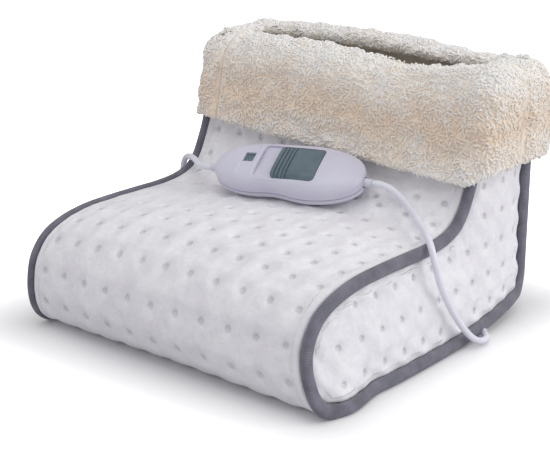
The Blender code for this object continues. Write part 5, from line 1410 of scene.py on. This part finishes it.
gland_profile = [(0.054, 0.005), (0.056, 0.005)]
gland_profile += relief_profile(0.0562, 0.0745, 0.0044, 0.0034, 4, 0.62)
reliefs = {
    "relief_right": ("gland_right", controller_place @ Matrix.Translation((0, 0, PARTING)),
                     gland_profile),
    "relief_left": ("gland_left",
                    controller_place @ Matrix.Translation((0, 0, PARTING)) @ Matrix.Rotation(math.pi, 4, "Z"),
                    gland_profile),
    "relief_sole": ("sole_cord_gland", Matrix.Translation((0.163348, 0.052605, 0.0050))
                    @ Matrix.Rotation(math.radians(-45), 4, "Z"), relief_profile(-0.040, 0.0, 0.0036, 0.0032, 5, 0.5)),
    "relief_plug": ("plug_strain_relief", Matrix.Translation((-0.1811875, 0.1451, PLUG_HEIGHT))
                    @ Matrix.Rotation(math.radians(-90), 4, "Z"), relief_profile(0.0, 0.0240, 0.0050, 0.0034, 7, 0.0)),
}
for name, (node, place, profile) in reliefs.items():
    relief = turned(name, profile, place, moulded)
    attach(relief, "boot")
    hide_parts(node)

# The plug's body: a flat moulding, narrow at the flex and square at the pins, its sides
# ridged for the fingers.
PLUG_START = 0.1454
PLUG_LENGTH = 0.0360
PLUG_HALF_WIDTH = 0.0175
PLUG_HALF_THICKNESS = 0.0070
GRIP_DEPTH = 0.0007
GRIP_RIBS = 9
plug_bm = bmesh.new()
plug_rings = []
for step in range(61):
    share = step / 60
    shoulder = 0.55 + 0.45 * smoothstep(share, 0.0, 0.75)
    grip_ends = smoothstep(share, 0.2, 0.3) * smoothstep(0.85 - share, 0.0, 0.1)
    grip = GRIP_DEPTH * max(0.0, math.sin(math.tau * share * GRIP_RIBS)) * grip_ends
    rounding = 1 - 0.10 * (1 - smoothstep(share, 0.0, 0.06)) - 0.05 * smoothstep(share, 0.96, 1.0)
    ring = []
    for side in range(56):
        turn = math.tau * side / 56
        across = signed_power(math.cos(turn), 0.42) * (PLUG_HALF_WIDTH * shoulder - grip) * rounding
        up = signed_power(math.sin(turn), 0.55) * PLUG_HALF_THICKNESS * rounding
        ring.append(plug_bm.verts.new((-0.1811875 + across, PLUG_START + PLUG_LENGTH * share, PLUG_HEIGHT + up)))
    plug_rings.append(ring)
for ring, after in zip(plug_rings, plug_rings[1:]):
    for a, b, c, d in zip(ring, ring[1:] + ring[:1], after[1:] + after[:1], after):
        plug_bm.faces.new((a, b, c, d))
plug_bm.faces.new(plug_rings[0])
plug_bm.faces.new(list(reversed(plug_rings[-1])))
plug_mesh = bpy.data.meshes.new("plug_moulding")
plug_bm.to_mesh(plug_mesh)
plug_bm.free()
plug_moulding = bpy.data.objects.new("plug_moulding", plug_mesh)
world_collection.objects.link(plug_moulding)
finished_mesh(plug_moulding)
plug_moulding.data.materials.append(moulded)
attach(plug_moulding, "boot")
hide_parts("plug_body")
round(line_length(mains_route), 3)

# The lining: cream plush on every wall of the foot pocket and over the heated sole.
LINING_THICKNESS = 0.007
LINING_HALF_WIDTH = 0.1278
LINING_FOOT = 0.0253
LINING_STEP = 0.0024


def plush_finish(name):
    """Plush: cream in soft tufts, painted darker where the tuft noise also sinks its bumps, a painted shade in the
    hollows.
    """
    made = Finish(name, 1.0, {"Sheen Weight": 0.5, "Sheen Roughness": 0.5, "Specular IOR Level": 0.1})
    tufts = made.noise(0.0040, 4.0, roughness=0.6)
    drift = made.noise(0.03, 3.0)
    # Painted shade: the same tuft noise that raises the bumps makes the hollows darker.
    made.colour(made.mix(made.ramp(tufts * 0.7 + drift * 0.4, 0.35, 0.72), srgb("c9b79f"), srgb("efe5d6")))
    return made.bump(tufts * 0.6 + made.noise(0.0009, 3.0) * 0.4, 0.0012)


def tufted(point, way, weight=1.0):
    """A point of the plush's face, raised a little where its tufts are."""
    return point + way * weight * 0.0008 * noise.noise(point / 0.004)


plush = plush_finish("cream_plush").material
linings = {}
lining_steps = [-LINING_HALF_WIDTH + 2 * LINING_HALF_WIDTH * step / 106 for step in range(107)]
for name, rows in (("lining_vamp", vamp_rows), ("lining_back", back_rows)):
    kept = [seam for seam in rows if seam.y > LINING_FOOT + 0.004]
    face, back = [], []
    for number, seam in enumerate(kept):
        way = outward(kept, number)
        for x in lining_steps:
            depth = SEAM_DEPTH - PANEL_THICKNESS - 0.0006
            y, z = seam + way * depth
            back.append(widen((x, y, max(z, LINING_FOOT)), seam))
            y, z = seam + way * (depth - LINING_THICKNESS)
            place = widen((x, y, max(z, LINING_FOOT)), seam)
            face.append(tufted(place, -Vector((0, way.x, way.y)), 0.0 if number in (0, len(kept) - 1) else 1.0))
    width = len(lining_steps)
    linings[name] = (face, back, [(row * width + column, row * width + column + 1, (row + 1) * width + column + 1,
                                   (row + 1) * width + column)
                                  for row in range(len(kept) - 1) for column in range(width - 1)])
lining_outline = []
for number, seam in enumerate(seam_rows):
    y, z = seam + outward(seam_rows, number) * (SEAM_DEPTH - PANEL_THICKNESS - LINING_THICKNESS - 0.0012)
    point = Vector((y, max(z, LINING_FOOT)))
    if not lining_outline or (point - lining_outline[-1]).length > 0.0008:
        lining_outline.append(point)
grid = []
for number_y in range(-80, 80):
    for number_z in range(90):
        point = Vector((number_y * LINING_STEP, LINING_FOOT + number_z * LINING_STEP))
        sides = list(zip(lining_outline, lining_outline[1:] + lining_outline[:1]))
        crossings = sum((a.y > point.y) != (b.y > point.y)
                        and point.x < a.x + (point.y - a.y) * (b.x - a.x) / (b.y - a.y) for a, b in sides)
        if crossings % 2 and min((point - a.lerp(b, max(0.0, min(1.0, (point - a).dot(b - a) / (b - a).length_squared)))
                                  ).length for a, b in sides) > LINING_STEP / 2:
            grid.append(point)
loop = list(range(len(lining_outline)))
loop_edges = list(zip(loop, loop[1:] + loop[:1]))
flat, _, triangles, _, _, _ = delaunay_2d_cdt(lining_outline + grid, loop_edges, [], 1, 1e-6)
for name, side in (("lining_right", 1), ("lining_left", -1)):
    back = [widen((side * LINING_HALF_WIDTH, point.x, point.y), point) for point in flat]
    face = [tufted(widen((side * (LINING_HALF_WIDTH - LINING_THICKNESS), point.x, point.y), point),
                   Vector((-side, 0, 0))) for point in flat]
    linings[name] = (face, back, [tuple(triangle) for triangle in triangles])
face, back = [], []
for row in range(109):
    y = -0.1365 + 0.273 * row / 108
    for x in lining_steps:
        place = Vector((x * 0.998, y, 0.0))
        back.append(widen((place.x, y, 0.0182), (y, 0.0182)))
        face.append(tufted(widen((place.x, y, 0.0248), (y, 0.0248)), Vector((0, 0, -1)), 0.5))
width = len(lining_steps)
linings["lining_sole"] = (face, back, [(row * width + column, row * width + column + 1, (row + 1) * width + column + 1,
                                        (row + 1) * width + column) for row in range(108) for column in range(width - 1)])
for name, (face, back, polygons) in linings.items():
    lining = closed_pad(name + "_plush", face, back, polygons, plush)
    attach(lining, "boot")
    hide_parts(name)

# Under the lining: the sole's dark non-slip cloth, the foam wadding, the felt that carries the
# red heating wire, its thermostat and fuse, and the junction where the lead comes in.


def layer_copy(name, node, material, soft, lift=0.0):
    """A flat layer in the CAD solid's own outline, with its edges rounded over."""
    bm = bmesh.new()
    bm.from_mesh(nodes[node].data)
    bmesh.ops.remove_doubles(bm, verts=bm.verts[:], dist=1e-6)
    bmesh.ops.dissolve_limit(bm, angle_limit=math.radians(0.5), verts=bm.verts[:], edges=bm.edges[:])
    for vert in bm.verts:
        vert.co.z = max(vert.co.z, lift)
    mesh = bpy.data.meshes.new(name)
    bm.to_mesh(mesh)
    bm.free()
    made = bpy.data.objects.new(name, mesh)
    world_collection.objects.link(made)
    edge = made.modifiers.new("edge", "BEVEL")
    edge.width = soft
    edge.segments = 2
    edge.limit_method = "ANGLE"
    edge.angle_limit = math.radians(50)
    finished_mesh(made)
    made.data.materials.clear()
    made.data.materials.append(material)
    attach(made, "boot")
    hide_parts(node)
    return made


def woven_finish(name, pale, dark, thread, rough=0.9):
    """A plain weave: threads over and under each other, with a faint bloom."""
    made = Finish(name, rough, {"Specular IOR Level": 0.2})
    split = made.tree.nodes.new("ShaderNodeSeparateXYZ")
    made.put(split, {"Vector": made.place})
    x, y = Shade(made, split.outputs[0]), Shade(made, split.outputs[1])
    warp = x.maths("SINE", x * (math.tau / thread)) * 0.5 + 0.5
    weft = y.maths("SINE", y * (math.tau / thread)) * 0.5 + 0.5
    weave = warp * weft + (1 - warp) * (1 - weft)
    bloom = made.noise(0.014, 4.0)
    made.colour(made.mix(made.ramp(weave * 0.5 + bloom * 0.5, 0.2, 0.8), srgb(dark), srgb(pale)))
    return made.bump(weave, 0.0002)


sole_cloth = woven_finish("sole_cloth", "55555f", "3a3a43", 0.0012)
layer_copy("sole_cloth", "sole_panel", sole_cloth.material, 0.0008, 0.0006)
foam_finish = Finish("wadding", 0.95)
foam_cells = foam_finish.noise(0.0012, 4.0, roughness=0.7)
foam_finish.colour(foam_finish.mix(foam_cells, srgb("c9c8c0"), srgb("e6e5de")))
foam_finish.bump(foam_cells, 0.0004)
layer_copy("sole_wadding", "sole_foam", foam_finish.material, 0.0008)
layer_copy("heater_felt", "heater_carrier", woven_finish("heater_felt", "cfc6b8", "b6ab9b", 0.0016).material,
           0.0003)


def plain_finish(name, pale, dark, rough, constants=None, size=0.006):
    """A small part's finish: faint clouds of its colour and a fine grain."""
    made = Finish(name, rough, constants)
    clouds = made.noise(size, 3.0)
    made.colour(made.mix(clouds, srgb(dark), srgb(pale)))
    made.rough(rough * 0.85 + clouds * rough * 0.3)
    return made.bump(made.noise(size / 12, 2.0), 0.00004).material


metal = {"Metallic": 1.0}
small_finishes = {
    "heating_wire": plain_finish("wire_sleeve", "a8382a", "8a2a1e", 0.45),
    "thermostat": plain_finish("pressed_steel", "b9babd", "a3a4a8", 0.35, metal),
    "thermal_fuse": plain_finish("fuse_sleeve", "e2dccb", "cdc5b0", 0.4),
    "junction_base": plain_finish("junction_plastic", "3c3c42", "303036", 0.5),
    "inner_lead": moulded,
    "circuit_board": plain_finish("board_lacquer", "2f6b3a", "235430", 0.4),
    "contact_plate": plain_finish("brass", "c9a25c", "b58d48", 0.32, metal),
    "contact_spring": plain_finish("spring_brass", "d2ac66", "bb9550", 0.28, metal),
    "triac": plain_finish("black_epoxy", "26262a", "1b1b1e", 0.45),
    "capacitor": plain_finish("capacitor_dip", "c8a52c", "b08f20", 0.4),
    "shell_screw_1": plain_finish("zinc_steel", "a9abb0", "8f9196", 0.35, metal),
    "plug_pin_1": plain_finish("nickel_pin", "cfd0d2", "b9babd", 0.22, metal),
}
small_finishes["junction_lid"] = small_finishes["junction_base"]
small_finishes["shell_screw_2"] = small_finishes["shell_screw_1"]
small_finishes["plug_pin_2"] = small_finishes["plug_pin_1"]
for name, material in small_finishes.items():
    nodes[name].data.materials.clear()
    nodes[name].data.materials.append(material)

# The floor and the light: a white studio sweep, a broad soft lamp on the boot's right, a
# weaker one overhead, and an even fill from all round.
SHADE_HALF_SIZE = 0.142
SHADE_FADE = 0.16
floor = bpy.data.objects.new("floor", bpy.data.meshes.new("floor"))
floor.data.from_pydata(
    [(-4, -4, -0.0001), (4, -4, -0.0001), (4, 6, -0.0001), (-4, 6, -0.0001)], [], [(0, 1, 2, 3)])
floor_finish = Finish("white_floor", 0.9, {"Emission Strength": 1.0})
floor_finish.put(floor_finish.shader, {"Base Color": (0.9, 0.9, 0.9, 1.0)})
floor_split = floor_finish.tree.nodes.new("ShaderNodeSeparateXYZ")
floor_finish.put(floor_split, {"Vector": floor_finish.place})
squares = 0
for axis in (0, 1):
    along = Shade(floor_finish, floor_split.outputs[axis])
    past = along.maths("MAXIMUM", along.maths("ABSOLUTE", along) - SHADE_HALF_SIZE, 0.0)
    squares = past * past + squares
past_boot = squares.maths("SQRT", squares)
# Painted shade: the floor glows white away from the boot but hardly at all near its footprint, so a darker zone is
# painted round the boot, under the shadow that is rendered there.
floor_finish.put(floor_finish.shader, {"Emission Color": floor_finish.mix(
    floor_finish.ramp(past_boot, 0.0, SHADE_FADE), (0.03, 0.03, 0.03, 1.0), (1.0, 1.0, 1.0, 1.0))})
floor_seen = floor_finish.tree.nodes["Material Output"].inputs["Surface"]
floor_dull = floor_finish.node("ShaderNodeBsdfDiffuse", {}, {"Color": (0.72, 0.71, 0.74, 1.0)})
floor_rays = floor_finish.node("ShaderNodeLightPath", output="Is Camera Ray")
floor_both = floor_finish.node("ShaderNodeMixShader", {}, {
    0: floor_rays, 1: floor_dull, 2: Shade(floor_finish, floor_finish.shader.outputs[0])})
floor_finish.tree.links.new(floor_both.socket, floor_seen)
floor.data.materials.append(floor_finish.material)
world_collection.objects.link(floor)


def soft_lamp(name, place, aim, size, power):
    """A square soft lamp that faces a point."""
    lamp = bpy.data.objects.new(name, bpy.data.lights.new(name, "AREA"))
    lamp.data.shape = "SQUARE"
    lamp.data.size = size
    lamp.data.energy = power
    lamp.location = place
    lamp.rotation_euler = (Vector(aim) - Vector(place)).to_track_quat("-Z", "Y").to_euler()
    world_collection.objects.link(lamp)


soft_lamp("right_lamp", (2.1, 0.9, 1.2), (0, 0, 0.1), 1.8, 24)
soft_lamp("top_lamp", (0.1, -0.6, 2.3), (0, 0, 0.1), 1.8, 11)
world = bpy.data.worlds.new("studio")
bpy.context.scene.world = world
world.use_nodes = True
fill = world.node_tree.nodes["Background"]
fill.inputs["Color"].default_value = (0.98, 0.97, 1.0, 1.0)
fill.inputs["Strength"].default_value = 0.60
seen = world.node_tree.nodes.new("ShaderNodeBackground")
seen.inputs["Strength"].default_value = 1.0
seen.inputs["Color"].default_value = (1.0, 1.0, 1.0, 1.0)
rays = world.node_tree.nodes.new("ShaderNodeLightPath")
choice = world.node_tree.nodes.new("ShaderNodeMixShader")
links = world.node_tree.links
links.new(rays.outputs["Is Camera Ray"], choice.inputs[0])
links.new(fill.outputs[0], choice.inputs[1])
links.new(seen.outputs[0], choice.inputs[2])
links.new(choice.outputs[0], world.node_tree.nodes["World Output"].inputs["Surface"])
bpy.context.scene.view_settings.view_transform = "Standard"
